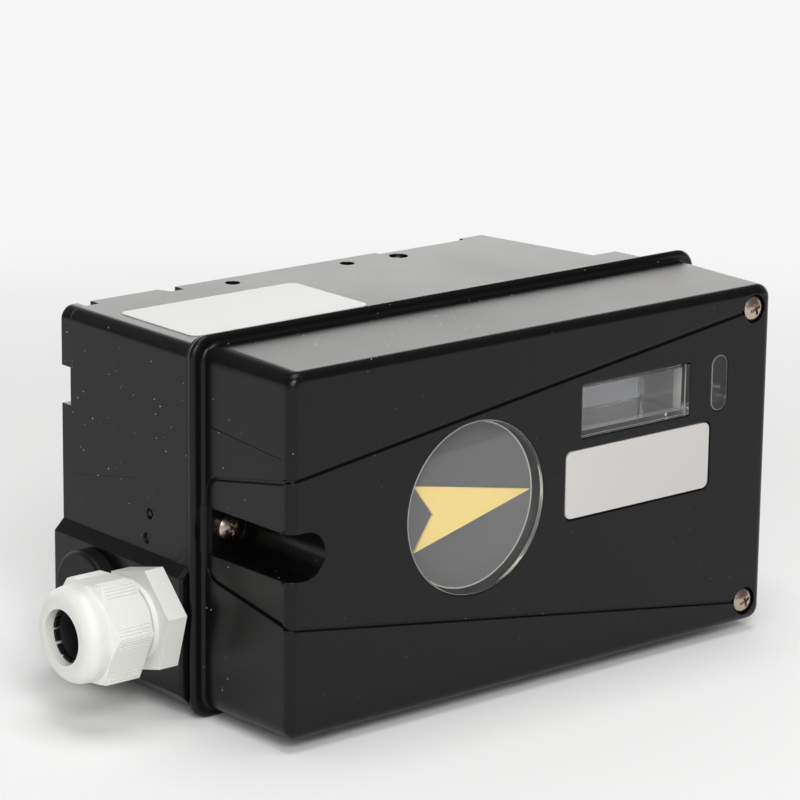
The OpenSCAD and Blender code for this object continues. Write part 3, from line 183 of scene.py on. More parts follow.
class PositionerSizes(bpy.types.PropertyGroup):
    """Sizes of the trim, and places on the castings that it follows."""

    wall_left: length("Left wall", "Left wall of the cover at its front", -59)
    wall_draft: FloatProperty(
        name="Draft", description="Lean of the cover's walls",
        default=math.radians(1), subtype="ANGLE")
    slot_height: length("Slot height", "Height of the slot's middle", -2.5)
    flange_depth: length(
        "Flange depth", "Depth of the flange's front behind the cover's front", 33.5)
    foot_fillet: length("Foot fillet", "Fillet between the cover's wall and its flange", 1.2)
    trim_start: length(
        "Trim start", "Where the left wall's trim starts behind the cover's front", 2.8)
    trim_half: length(
        "Trim half height", "Reach of the trim above and below the slot's middle", 7.3)
    trim_out: length("Trim width", "How far out from the left wall the trim cuts", 7)
    housing_left: length("Housing left", "Left wall of the housing", -62)
    corner_radius: length("Corner radius", "Outer radius of the housing's corners", 3.5)
    post_width: length("Post width", "Width of the post in the housing's rear top corner", 5)
    post_depth: length("Post depth", "Depth of the post in the housing's rear top corner", 3.75)
    post_height: length("Post height", "Height of the post in the housing's rear top corner", 4.5)
    boss_out: length("Boss height", "How far the cable entry boss stands out of the left wall", 2.8)
    boss_top: length("Boss top", "Height of the upper edge of the cable entry boss", -12.5)
    boss_round: length("Boss rounding", "Rounding of the boss where it meets the flange", 0.9)
    line_width: length("Line width", "Width of a mould line on a left wall", 0.3)
    line_height: length("Line height", "How far a mould line stands out of its wall", 0.12)
    plate_corner: length("Plate corner", "Corner radius of the bare plate on the front", 2)
    plate_gap: length("Plate gap", "How far the plate stays clear of its recess", 0.25)
    plate_edge: length("Plate edge", "Rounding of the plate's front edge", 0.2)
    label_left: length("Label left", "Left edge of the label on the top", -55)
    label_right: length("Label right", "Right edge of the label on the top", 1)
    label_front: length("Label front", "Front edge of the label on the top", -46.5)
    label_rear: length("Label rear", "Rear edge of the label on the top", -15)
    label_corner: length("Label corner", "Corner radius of the label", 2.5)
    label_thickness: length("Label thickness", "Thickness of the label's film", 0.2)
    window_edge: length("Window edge", "Rounding of the display's and the lamps' windows", 0.35)
    # The pane's rounded front edge carries a pale painted highlight
    pane_edge: length("Pane edge", "Ground rounding of the round pane's front edge", 0.35)
    pane_ring: length("Pane ring", "Width of the ring that holds a pane from behind", 2.5)
    pane_depth: length("Pane depth", "Thickness of a pane in the cover's wall", 3)
    pane_step: length("Pane step", "How far the ring's opening is smaller than the pane", 0.2)
    well_radius: length("Well radius", "Inner radius of the black well round the arrow disc", 22.8)
    well_depth: length("Well depth", "Depth of the well behind the pane", 8)
    well_wall: length("Well wall", "Thickness of the well's wall", 1.5)
    rim_width: length("Disc rim", "Width of the pale line round the arrow disc", 0.4)
    rim_depth: length("Rim depth", "Depth of the pale line round the arrow disc", 0.36)
    rim_proud: length("Rim height", "How far the pale line stands out in front of the disc", 0.08)
    shroud_room: length("Shroud room", "How far the shroud stands out from the display's box", 0.7)
    # The pale band in front of the shroud is painted light at the front of the display's walls
    shroud_gap: length("Shroud gap", "Distance of the seal from the cover's wall", 1.1)
    shroud_corner: length("Shroud corner", "Corner radius of the shroud and the seal", 0.8)
    seal_depth: length("Seal depth", "Depth of the pale seal in front of the shroud", 3)
    soft_edge: length("Soft edge", "Rounding on the shroud, the seal and the gland's lip", 0.1)
    nut_flat: length("Nut flat", "Distance of the nut's flats from its axis", 12.4)
    nut_turn: FloatProperty(
        name="Nut turn", description="How far the gland's nut is turned",
        default=math.radians(55.7), subtype="ANGLE")
    rib_count: IntProperty(
        name="Ribs", description="Grip ribs on each side of a corner of the gland's nut",
        default=4, min=1)
    rib_pitch: length("Rib pitch", "Distance from one grip rib to the next", 0.85)
    rib_margin: length("Rib margin", "Distance of the outer rib from the nut's corner", 0.5)
    rib_setback: length("Rib setback", "Distance of the ribs from the nut's wide end", 0.4)
    rib_width: length("Rib width", "Width of a grip rib", 0.45)
    rib_height: length("Rib height", "How far a grip rib stands out", 0.2)
    rib_length: length("Rib length", "Length of a grip rib along the nut", 9.3)
    lip_radius: length("Lip radius", "Outside of the rubber lip inside the gland's fingers", 6.2)
    lip_wall: length("Lip wall", "Thickness of the rubber lip", 0.35)
    lip_setback: length("Lip setback", "Distance of the rubber lip from the fingers' ends", 1.2)


def colour_setting(name, description, hex_colour):
    """Colour that a user can change."""
    return FloatVectorProperty(name=name, description=description, subtype="COLOR", size=3,
                               min=0, max=1, default=linear(hex_colour))


class PositionerColours(bpy.types.PropertyGroup):
    """Colours that a user would change, named by their slot or piece of trim."""

    painted_black: colour_setting("Coat", "Powder coat on the castings", "#0b0b0c")
    gland_grey: colour_setting("Gland", "Polyamide of the cable gland", FINISHES["gland_grey"][1])
    plate: colour_setting("Plate", "Bare plate on the front", FINISHES["plate"][1])
    arrow_yellow: colour_setting("Arrow", "Film of the arrow", FINISHES["arrow_yellow"][1])
    disc_grey: colour_setting("Disc", "Disc behind the arrow", FINISHES["disc_grey"][1])
    label: colour_setting("Label", "Bare label on the top", FINISHES["label"][1])
    floor: colour_setting("Floor", "Studio floor", "#f4f4f4")


# Materials


def blank_material(name):
    """New material without nodes, its node tree, and a socket with places in metres."""
    material = bpy.data.materials.new(name)
    material.use_nodes = True
    tree = material.node_tree
    tree.nodes.clear()
    return material, tree, add_node(tree, "ShaderNodeTexCoord").outputs["Object"]


def grained(name, colour, shade, roughness, metallic, grain, relief, stretch, sockets):
    """Material whose colour, gloss and relief follow one noise, sized in millimetres."""
    dark = [channel * shade for channel in colour]
    material, tree, place = blank_material(name)
    scaled = add_node(tree, "ShaderNodeMapping", {"Scale": stretch}, {"Vector": place})
    noise = add_node(tree, "ShaderNodeTexNoise", {"Scale": 1 / (grain * MM), "Detail": 3.0},
                     {"Vector": scaled.outputs["Vector"]})
    tint = add_node(tree, "ShaderNodeMix", {"data_type": "RGBA", 6: (*dark, 1), 7: (*colour, 1)},
                    {0: noise.outputs["Fac"]})
    gloss = add_node(tree, "ShaderNodeMapRange",
                     {"To Min": max(0.0, roughness - 0.06), "To Max": min(1.0, roughness + 0.06)},
                     {"Value": noise.outputs["Fac"]})
    bump = add_node(tree, "ShaderNodeBump", {"Strength": 0.5, "Distance": relief * MM},
                    {"Height": noise.outputs["Fac"]})
    shader = add_node(tree, "ShaderNodeBsdfPrincipled", {"Metallic": metallic, **sockets},
                      {"Base Color": tint.outputs[2], "Roughness": gloss.outputs["Result"],
                       "Normal": bump.outputs["Normal"]})
    add_node(tree, "ShaderNodeOutputMaterial", None, {"Surface": shader.outputs["BSDF"]})
    return material


def powder_coat(name, colour):
    """Satin black powder coat on a die casting: faint orange peel, soft edges, a little dust."""
    material, tree, place = blank_material(name)
    # The real peel is about 0.4 mm wide; it is drawn at 0.9 mm so that it shows
    peel = add_node(tree, "ShaderNodeTexNoise", {"Scale": 1 / (0.9 * MM), "Detail": 2.0},
                    {"Vector": place})
    # The gloss drifts over about 30 mm
    cloud = add_node(tree, "ShaderNodeTexNoise", {"Scale": 1 / (30 * MM), "Detail": 3.0},
                     {"Vector": place})
    gloss = add_node(tree, "ShaderNodeMapRange", {"To Min": 0.22, "To Max": 0.30},
                     {"Value": cloud.outputs["Fac"]})
    # Dust specks up to 0.4 mm across, in about one of three cells of 2.2 mm
    cells = add_node(tree, "ShaderNodeTexVoronoi", {"Scale": 1 / (2.2 * MM)}, {"Vector": place})
    lot = add_node(tree, "ShaderNodeSeparateColor", None, {"Color": cells.outputs["Color"]})
    reach = add_node(tree, "ShaderNodeMath", {"operation": "MULTIPLY_ADD", 1: 0.06, 2: 0.03},
                     {0: lot.outputs["Green"]})
    speck = add_node(tree, "ShaderNodeMath", {"operation": "LESS_THAN"},
                     {0: cells.outputs["Distance"], 1: reach.outputs["Value"]})
    chosen = add_node(tree, "ShaderNodeMath", {"operation": "GREATER_THAN", 1: 0.64},
                      {0: lot.outputs["Red"]})
    dust = add_node(tree, "ShaderNodeMath", {"operation": "MULTIPLY"},
                    {0: speck.outputs["Value"], 1: chosen.outputs["Value"]})
    tint = add_node(tree, "ShaderNodeMix",
                    {"data_type": "RGBA", 6: (*colour, 1), 7: (*linear("#b4b3ae"), 1)},
                    {0: dust.outputs["Value"]})
    # Paint draws back from sharp edges, which look 0.5 mm round
    edge = add_node(tree, "ShaderNodeBevel", {"samples": 4, "Radius": 0.5 * MM})
    bump = add_node(tree, "ShaderNodeBump", {"Strength": 0.12, "Distance": 0.02 * MM},
                    {"Height": peel.outputs["Fac"], "Normal": edge.outputs["Normal"]})
    shader = add_node(tree, "ShaderNodeBsdfPrincipled", {"IOR": 1.33},
                      {"Base Color": tint.outputs[2], "Roughness": gloss.outputs["Result"],
                       "Normal": bump.outputs["Normal"]})
    add_node(tree, "ShaderNodeOutputMaterial", None, {"Surface": shader.outputs["BSDF"]})
    return material


def polycarbonate(name, tint):
    """Moulded polycarbonate: glossy, faintly wavy, and lamps shine straight through it."""
    material, tree, place = blank_material(name)
    # Flow marks of the moulding, about 9 mm long
    flow = add_node(tree, "ShaderNodeTexNoise", {"Scale": 1 / (9 * MM), "Detail": 1.0},
                    {"Vector": place})
    gloss = add_node(tree, "ShaderNodeMapRange", {"To Min": 0.01, "To Max": 0.05},
                     {"Value": flow.outputs["Fac"]})
    body = add_node(tree, "ShaderNodeBsdfPrincipled",
                    {"Base Color": (*linear(tint), 1), "Transmission Weight": 1.0, "IOR": 1.5},
                    {"Roughness": gloss.outputs["Result"]})
    clear = add_node(tree, "ShaderNodeBsdfTransparent", {"Color": (*linear(tint), 1)})
    path = add_node(tree, "ShaderNodeLightPath")
    passing = add_node(tree, "ShaderNodeMath", {"operation": "MAXIMUM"},
                       {0: path.outputs["Is Shadow Ray"], 1: path.outputs["Is Diffuse Ray"]})
    both = add_node(tree, "ShaderNodeMixShader", None,
                    {0: passing.outputs["Value"], 1: body.outputs["BSDF"],
                     2: clear.outputs["BSDF"]})
    add_node(tree, "ShaderNodeOutputMaterial", None, {"Surface": both.outputs["Shader"]})
    return material


def paper_floor(colour):
    """Matt paper: takes the object's shadow, and far away it is as white as a studio sweep."""
    material, tree, place = blank_material("matt_paper_floor")
    # Fibres of the paper, about 2 mm long
    fibre = add_node(tree, "ShaderNodeTexNoise", {"Scale": 1 / (2 * MM), "Detail": 2.0},
                     {"Vector": place})
    bump = add_node(tree, "ShaderNodeBump", {"Strength": 0.1, "Distance": 0.02 * MM},
                    {"Height": fibre.outputs["Fac"]})
    near = add_node(tree, "ShaderNodeBsdfPrincipled",
                    {"Base Color": (*colour, 1), "Roughness": 0.9},
                    {"Normal": bump.outputs["Normal"]})
    far = add_node(tree, "ShaderNodeEmission", {"Color": (*linear("#f6f6f6"), 1), "Strength": 1.0})
    # The sweep fades in from 0.18 to 0.5 m, for the eye and in reflections only
    distance = add_node(tree, "ShaderNodeVectorMath", {"operation": "LENGTH"}, {0: place})
    away = add_node(tree, "ShaderNodeMapRange",
                    {"From Min": 0.18, "From Max": 0.5, "interpolation_type": "SMOOTHSTEP"},
                    {"Value": distance.outputs["Value"]})
    path = add_node(tree, "ShaderNodeLightPath")
    seen = add_node(tree, "ShaderNodeMath", {"operation": "MAXIMUM"},
                    {0: path.outputs["Is Camera Ray"], 1: path.outputs["Is Glossy Ray"]})
    seen = add_node(tree, "ShaderNodeMath", {"operation": "MAXIMUM"},
                    {0: seen.outputs["Value"], 1: path.outputs["Is Transmission Ray"]})
    share = add_node(tree, "ShaderNodeMath", {"operation": "MULTIPLY"},
                     {0: away.outputs["Result"], 1: seen.outputs["Value"]})
    both = add_node(tree, "ShaderNodeMixShader", None,
                    {0: share.outputs["Value"], 1: near.outputs["BSDF"],
                     2: far.outputs["Emission"]})
    add_node(tree, "ShaderNodeOutputMaterial", None, {"Surface": both.outputs["Shader"]})
    return material


def finish_of(slot, colours):
    """Material of a slot of the record or of a piece of trim, made once."""
    if slot == "painted_black":
        name = "satin_black_powder_coat"
        return bpy.data.materials.get(name) or powder_coat(name, colours.painted_black)
    if slot == "clear_plastic":
        name = "clear_moulded_polycarbonate"
        return bpy.data.materials.get(name) or polycarbonate(name, "#fdfdfd")
    name, colour, *rest = FINISHES[slot]
    return bpy.data.materials.get(name) or grained(
        name, getattr(colours, slot, linear(colour)), *rest)


# Modelling helpers


def select_only(piece):
    """Select one object and make it active."""
    bpy.ops.object.select_all(action="DESELECT")
    piece.select_set(True)
    bpy.context.view_layer.objects.active = piece


def select_where(piece, kind, test):
    """In edit mode, select only the vertices, edges or faces that pass a test."""
    bpy.ops.mesh.select_mode(type={"verts": "VERT", "edges": "EDGE", "faces": "FACE"}[kind])
    bpy.ops.mesh.select_all(action="DESELECT")
    mesh = bmesh.from_edit_mesh(piece.data)
    for element in getattr(mesh, kind):
        if test(element):
            element.select_set(True)
    bmesh.update_edit_mesh(piece.data)


def runs_along(edge, axis):
    """Tell whether an edge runs along an axis."""
    return abs((edge.verts[0].co - edge.verts[1].co).normalized()[axis]) > 0.99


def on_rim(edge, axis, level):
    """Tell whether an edge lies at a level of an axis, where an end face meets a side."""
    return (all(abs(v.co[axis] - level) < NEAR for v in edge.verts)
            and any(abs(f.normal[axis]) < 0.5 for f in edge.link_faces))


def settle(piece, name, body, material):
    """Name a finished piece, smooth it, give it its material, and let it ride on its body."""
    select_only(piece)
    bpy.ops.object.transform_apply(location=True, rotation=True, scale=True)
    bpy.ops.object.shade_smooth_by_angle(angle=SMOOTH)
    piece.name = name
    piece.data.name = name
    piece.data.materials.clear()
    piece.data.materials.append(material)
    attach(piece, body)
    return piece


def even_normals(mesh):
    """Shade each corner by the faces round it that bend little; wide faces stay flat."""
    least = math.cos(SMOOTH)
    wide = WIDE_SHARE * sum(face.area for face in mesh.polygons)
    around = [[] for _ in mesh.vertices]
    for face in mesh.polygons:
        points = [mesh.vertices[i].co for i in face.vertices]
        bonus = 1 + (face.area / wide) ** 2
        for i, vertex in enumerate(face.vertices):
            before = points[i - 1] - points[i]
            after = points[(i + 1) % len(points)] - points[i]
            around[vertex].append((face.normal, bonus * before.angle(after, 0)))
    normals = []
    for face in mesh.polygons:
        for vertex in face.vertices:
            near = [normal * share for normal, share in around[vertex]
                    if normal.dot(face.normal) > least]
            normals.append(sum(near, Vector()).normalized())
    mesh.normals_split_custom_set(normals)


def finished_copy(node, name, colours, shape=None):
    """Merged, smoothly shaded copy of a CAD node that stands for it; shape works on it between."""
    piece = bpy.data.objects.new(name, frame["nodes"][node].data.copy())
    bpy.context.scene.collection.objects.link(piece)
    select_only(piece)
    bpy.ops.object.mode_set(mode="EDIT")
    bpy.ops.mesh.select_all(action="SELECT")
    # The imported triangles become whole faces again
    bpy.ops.mesh.remove_doubles(threshold=0.0008 * MM)
    bpy.ops.mesh.dissolve_limited(angle_limit=math.radians(0.3), delimit={"NORMAL"})
    bpy.ops.object.mode_set(mode="OBJECT")
    if shape:
        shape(piece)
    slot = SLOT_OF[node]
    settle(piece, name, BODY_OF[node], finish_of(slot, colours))
    even_normals(piece.data)
    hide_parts(node)
    return piece


def block(low, high):
    """Box between two corners."""
    bpy.ops.object.select_all(action="DESELECT")
    bpy.ops.mesh.primitive_cube_add(size=1, location=(low + high) / 2, scale=high - low)
    bpy.ops.object.transform_apply(location=True, rotation=True, scale=True)
    return bpy.context.object


def rod(middle, axis, depth, radius):
    """Round bar along X or Y about its middle."""
    turn = (0, math.pi / 2, 0) if axis == 0 else (math.pi / 2, 0, 0)
    bpy.ops.object.select_all(action="DESELECT")
    bpy.ops.mesh.primitive_cylinder_add(
        vertices=128, radius=radius, depth=depth, location=middle, rotation=turn)
    bpy.ops.object.transform_apply(location=True, rotation=True, scale=True)
    return bpy.context.object


def rounded_slab(low, high, axis, corner, outer, edge):
    """Slab with round corners across an axis and a rounded rim on its outer face."""
    piece = block(low, high)
    bpy.ops.object.mode_set(mode="EDIT")
    select_where(piece, "edges", lambda e: runs_along(e, axis))
    bpy.ops.mesh.bevel(offset=corner, segments=10, affect="EDGES")
    level = (high if outer > 0 else low)[axis]
    select_where(piece, "edges", lambda e: on_rim(e, axis, level))
    bpy.ops.mesh.bevel(offset=edge, segments=3, affect="EDGES")
    bpy.ops.object.mode_set(mode="OBJECT")
    return piece


def hollow(piece, axis, wall, soft):
    """Open a block or rod along an axis, thicken its sides inwards and soften its edges."""
    select_only(piece)
    bpy.ops.object.mode_set(mode="EDIT")
    select_where(piece, "faces", lambda f: abs(f.normal[axis]) > 0.9)
    bpy.ops.mesh.delete(type="FACE")
    bpy.ops.object.mode_set(mode="OBJECT")
    side = piece.modifiers.new("side", "SOLIDIFY")
    side.thickness = wall
    side.offset = -1
    side.use_even_offset = True
    bpy.ops.object.modifier_apply(modifier="side")
    ends = [vertex.co[axis] for vertex in piece.data.vertices]
    first, last = min(ends), max(ends)
    bpy.ops.object.mode_set(mode="EDIT")
    select_where(piece, "edges", lambda e: all(
        min(v.co[axis] - first, last - v.co[axis]) < NEAR for v in e.verts)
        and any(abs(f.normal[axis]) < 0.5 for f in e.link_faces))
    bpy.ops.mesh.bevel(offset=soft, segments=2, affect="EDGES")
    bpy.ops.object.mode_set(mode="OBJECT")
    return piece


def ring(middle, axis, depth, radius, wall, soft):
    """Ring along an axis about its middle; radius is its outside."""
    return hollow(rod(middle, axis, depth, radius), axis, wall, soft)


def square_tube(low, high, corner, wall, soft):
    """Tube along Y with a rectangular section and round corners."""
    piece = block(low, high)
    bpy.ops.object.mode_set(mode="EDIT")
    select_where(piece, "edges", lambda e: runs_along(e, 1))
    bpy.ops.mesh.bevel(offset=corner, segments=4, affect="EDGES")
    bpy.ops.object.mode_set(mode="OBJECT")
    return hollow(piece, 1, wall, soft)


def left_wall(y, sizes):
    """Place of the cover's left wall at a depth."""
    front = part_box("front_cover")[0][1]
    return sizes.wall_left - (y - front) * math.tan(sizes.wall_draft)


def trim_left_wall(piece, sizes):
    """Cut what stands out of the cover's left wall beside its slot, down to the flange's fillet."""
    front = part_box("front_cover")[0][1]
    start = front + sizes.trim_start
    clear = 0.01 * MM
    low = Vector((sizes.wall_left - sizes.trim_out, start, sizes.slot_height - sizes.trim_half))
    high = Vector((left_wall(start, sizes) - clear, front + sizes.flange_depth - clear,
                   sizes.slot_height + sizes.trim_half))
    cutter = block(low, high)
    bpy.ops.object.mode_set(mode="EDIT")
    select_where(cutter, "verts", lambda v: v.co.x > high.x - NEAR and v.co.y > high.y - NEAR)
    lean = left_wall(high.y, sizes) - left_wall(start, sizes)
    bpy.ops.transform.translate(value=(lean, 0, 0))
    select_where(cutter, "edges", lambda e: all(
        v.co.x > low.x + NEAR and v.co.y > high.y - NEAR for v in e.verts))
    bpy.ops.mesh.bevel(offset=sizes.foot_fillet, segments=6, affect="EDGES")
    bpy.ops.object.mode_set(mode="OBJECT")
    select_only(piece)
    trim = piece.modifiers.new("trim", "BOOLEAN")
    trim.operation = "DIFFERENCE"
    trim.solver = "EXACT"
    trim.object = cutter
    bpy.ops.object.modifier_apply(modifier="trim")
    bpy.data.objects.remove(cutter)


def mould_line(rear, front, sizes):
    """Wedge on a left wall from a rear to a front point: flush at its upper edge, proud below."""
    half = sizes.line_width / 2
    low = Vector((rear.x - sizes.line_height, front.y, rear.z - half))
    high = Vector((rear.x + sizes.line_height, rear.y, rear.z + half))
    piece = block(low, high)
    bpy.ops.object.mode_set(mode="EDIT")
    select_where(piece, "verts", lambda v: v.co.x < low.x + NEAR and v.co.z > high.z - NEAR)
    bpy.ops.transform.translate(value=(sizes.line_height, 0, 0))
    select_where(piece, "verts", lambda v: v.co.y < low.y + NEAR)
    bpy.ops.transform.translate(value=(front.x - rear.x, 0, front.z - rear.z))
    bpy.ops.object.mode_set(mode="OBJECT")
    return piece


def soften_front(piece, edge):
    """Round the rim of a pane's front face."""
    select_only(piece)
    front = min(vertex.co.y for vertex in piece.data.vertices)
    bpy.ops.object.mode_set(mode="EDIT")
    select_where(piece, "edges", lambda e: on_rim(e, 1, front))
    bpy.ops.mesh.bevel(offset=edge, segments=3, affect="EDGES")
    bpy.ops.object.mode_set(mode="OBJECT")


def paint_rim_highlight(piece, edge, material):
    """Give the rounded rim of a pane's front face a material of its own: a pale painted highlight.
    """
    front = min(vertex.co.y for vertex in piece.data.vertices)
    piece.data.materials.append(material)
    for face in piece.data.polygons:
        if face.center.y < front + edge and abs(face.normal.y) < 0.97:
            face.material_index = 1


# Operators


class POSITIONER_OT_castings(bpy.types.Operator):
    """Coat the cover and the housing"""

    bl_idname = "positioner.castings"
    bl_label = "Cover and housing"

    def execute(self, context):
        colours = context.scene.positioner_colours
        sizes = context.scene.positioner_sizes
        finished_copy("front_cover", "cover_casting", colours,
                      lambda piece: trim_left_wall(piece, sizes))
        finished_copy("housing", "housing_casting", colours)
        return {"FINISHED"}


class POSITIONER_OT_corners(bpy.types.Operator):
    """Close the housing's rear corner and carry its cable entry boss on to the flange"""

    bl_idname = "positioner.corners"
    bl_label = "Corner post and boss lip"

    def execute(self, context):
        sizes = context.scene.positioner_sizes
        coat = finish_of("painted_black", context.scene.positioner_colours)
        bottom, top = (corner[2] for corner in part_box("housing"))

        # Post in the rear corner at the top left
        low = Vector((sizes.housing_left, -sizes.post_depth, top - sizes.post_height))
        high = Vector((sizes.housing_left + sizes.post_width, 0, top))
        post = block(low, high)
        bpy.ops.object.mode_set(mode="EDIT")
        select_where(post, "edges", lambda e: all(
            v.co.x < low.x + NEAR and v.co.z > high.z - NEAR for v in e.verts))
        bpy.ops.mesh.bevel(offset=sizes.corner_radius, segments=12, affect="EDGES")
        bpy.ops.object.mode_set(mode="OBJECT")
        settle(post, "rear_corner_post", "housing", coat)

        # Lip in front of the boss, with sloping ends and a rounded outer edge
        joint_low, joint_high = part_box("cover_gasket")
        inner = joint_low[0] - SKIN
        outer = sizes.housing_left - sizes.boss_out
        reach = inner - outer
        low = Vector((outer, joint_low[1] + SKIN, bottom + sizes.corner_radius - reach))
        high = Vector((inner, joint_high[1], sizes.boss_top - sizes.boss_out + reach))
        lip = block(low, high)
        bpy.ops.object.mode_set(mode="EDIT")
        select_where(lip, "verts", lambda v: v.co.x < low.x + NEAR and v.co.z > high.z - NEAR)
        bpy.ops.transform.translate(value=(0, 0, -reach))
        select_where(lip, "verts", lambda v: v.co.x < low.x + NEAR and v.co.z < low.z + NEAR)
        bpy.ops.transform.translate(value=(0, 0, reach))
        select_where(lip, "edges", lambda e: all(
            v.co.x < low.x + NEAR and v.co.y < low.y + NEAR for v in e.verts))
        bpy.ops.mesh.bevel(offset=sizes.boss_round, segments=6, affect="EDGES")
        bpy.ops.object.mode_set(mode="OBJECT")
        settle(lip, "boss_lip", "housing", coat)
        return {"FINISHED"}


class POSITIONER_OT_lines(bpy.types.Operator):
    """Make the faint mould lines on the left walls"""

    bl_idname = "positioner.lines"
    bl_label = "Mould lines"

    def execute(self, context):
        sizes = context.scene.positioner_sizes
        coat = finish_of("painted_black", context.scene.positioner_colours)
        # Name, body, and depth and height of the rear and the front end in millimetres
        lines = (
            ("cover_mould_line", "cover", (-57.9, 24.1), (-86.5, 21.7)),
            ("housing_mould_line", "housing", (-4.7, 0.3), (-31.3, 5.2)),
        )
        for name, body, *ends in lines:
            points = [Vector((sizes.housing_left, y * MM, z * MM)) for y, z in ends]
            if body == "cover":
                for point in points:
                    point.x = left_wall(point.y, sizes)
            settle(mould_line(*points, sizes), name, body, coat)
        return {"FINISHED"}


class POSITIONER_OT_turned(bpy.types.Operator):
    """Smooth the turned and moulded pieces that keep their CAD shape"""

    bl_idname = "positioner.turned"
    bl_label = "Turned and moulded pieces"

    def execute(self, context):
        colours = context.scene.positioner_colours
        made_elsewhere = {"front_cover", "housing", "name_plate", "indicator_window",
                          "display_window", "lamp_window"}
        for node in frame["nodes"]:
            if node not in made_elsewhere:
                finished_copy(node, node + "_finished", colours)
        return {"FINISHED"}


class POSITIONER_OT_plate(bpy.types.Operator):
    """Make the bare plate on the front"""

    bl_idname = "positioner.plate"
    bl_label = "Bare plate"

    def execute(self, context):
        sizes = context.scene.positioner_sizes
        low, high = (Vector(corner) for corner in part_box("name_plate"))
        gap = Vector((sizes.plate_gap, 0, sizes.plate_gap))
        piece = rounded_slab(low + gap, high - gap, 1, sizes.plate_corner, -1, sizes.plate_edge)
        settle(piece, "bare_plate", "cover",
               finish_of("plate", context.scene.positioner_colours))
        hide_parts("name_plate")
        return {"FINISHED"}


class POSITIONER_OT_label(bpy.types.Operator):
    """Make the bare label on the top of the housing"""

    bl_idname = "positioner.label"
    bl_label = "Bare label"

    def execute(self, context):
        sizes = context.scene.positioner_sizes
        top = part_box("housing")[1][2]
        low = Vector((sizes.label_left, sizes.label_front, top - SKIN))
        high = Vector((sizes.label_right, sizes.label_rear, top + sizes.label_thickness))
        piece = rounded_slab(low, high, 2, sizes.label_corner, 1, sizes.label_thickness / 3)
        settle(piece, "bare_label", "housing",
               finish_of("label", context.scene.positioner_colours))
        return {"FINISHED"}


class POSITIONER_OT_windows(bpy.types.Operator):
    """Round the rims of the display's and the lamps' windows"""

    bl_idname = "positioner.windows"
    bl_label = "Display and lamp windows"

    def execute(self, context):
        colours = context.scene.positioner_colours
        edge = context.scene.positioner_sizes.window_edge
        finished_copy("display_window", "display_box", colours,
                      lambda piece: soften_front(piece, edge))
        lamps = finished_copy("lamp_window", "lamp_slot", colours,
                              lambda piece: soften_front(piece, edge))
        # Dark and clear, so that the slot for the lamps stays quiet until one shines
        lamps.data.materials[0] = polycarbonate("smoked_moulded_polycarbonate", "#5a5a5e")
        # The lamp slot's rounded rim gets a pale painted highlight
        paint_rim_highlight(lamps, edge, finish_of("lamp_rim", colours))
        return {"FINISHED"}


class POSITIONER_OT_panes(bpy.types.Operator):
    """Make the round pane with its holding ring and a pale painted highlight on its rounded rim"""

    bl_idname = "positioner.panes"
    bl_label = "Round pane"

    def execute(self, context):
        sizes = context.scene.positioner_sizes
        colours = context.scene.positioner_colours
        low, high = (Vector(corner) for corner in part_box("indicator_window"))
        rear = low.y + sizes.pane_depth
        back = high.y - rear
        outer = (high.x - low.x) / 2
        radius = outer - sizes.pane_ring
        piece = rod((0, (low.y + rear) / 2, 0), 1, sizes.pane_depth, radius)
        bpy.ops.object.mode_set(mode="EDIT")
        select_where(piece, "faces", lambda f: f.normal.y > 0.9)
        bpy.ops.mesh.extrude_region_move()
        bpy.ops.transform.resize(value=(outer / radius, 1, outer / radius),
                                 center_override=(0, rear, 0))
        bpy.ops.mesh.extrude_region_move(TRANSFORM_OT_translate={"value": (0, back, 0)})
        bpy.ops.mesh.inset(thickness=outer - radius + sizes.pane_step)
        bpy.ops.transform.translate(value=(0, -back, 0))
        select_where(piece, "edges", lambda e: all(abs(v.co.y - low.y) < NEAR for v in e.verts))
        bpy.ops.mesh.bevel(offset=sizes.pane_edge, segments=4, affect="EDGES")
        bpy.ops.mesh.select_all(action="SELECT")
        bpy.ops.mesh.normals_make_consistent(inside=False)
        bpy.ops.object.mode_set(mode="OBJECT")
        settle(piece, "round_pane", "cover", finish_of("clear_plastic", colours))
        # The pane's rounded rim gets a pale painted highlight
        paint_rim_highlight(piece, sizes.pane_edge, finish_of("pane_rim", colours))
        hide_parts("indicator_window")
        return {"FINISHED"}


class POSITIONER_OT_wells(bpy.types.Operator):
    """Make the black well round the arrow disc and the disc's pale rim"""

    bl_idname = "positioner.wells"
    bl_label = "Well and disc rim"

    def execute(self, context):
        sizes = context.scene.positioner_sizes
        colours = context.scene.positioner_colours
        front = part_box("indicator_window")[1][1] + SKIN
        wall = sizes.well_wall
        well = ring((0, front + sizes.well_depth / 2, 0), 1, sizes.well_depth,
                    sizes.well_radius + wall, wall, wall / 10)
        settle(well, "indicator_well", "cover",
               finish_of("black_plastic", colours))
        low, high = (Vector(corner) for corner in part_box("arrow_disc"))
        depth = sizes.rim_depth
        rim = ring((0, low.y - sizes.rim_proud + depth / 2, 0), 1, depth, high.x,
                   sizes.rim_width, depth / 6)
        settle(rim, "disc_rim", "spindle", finish_of("disc_rim", colours))
        return {"FINISHED"}


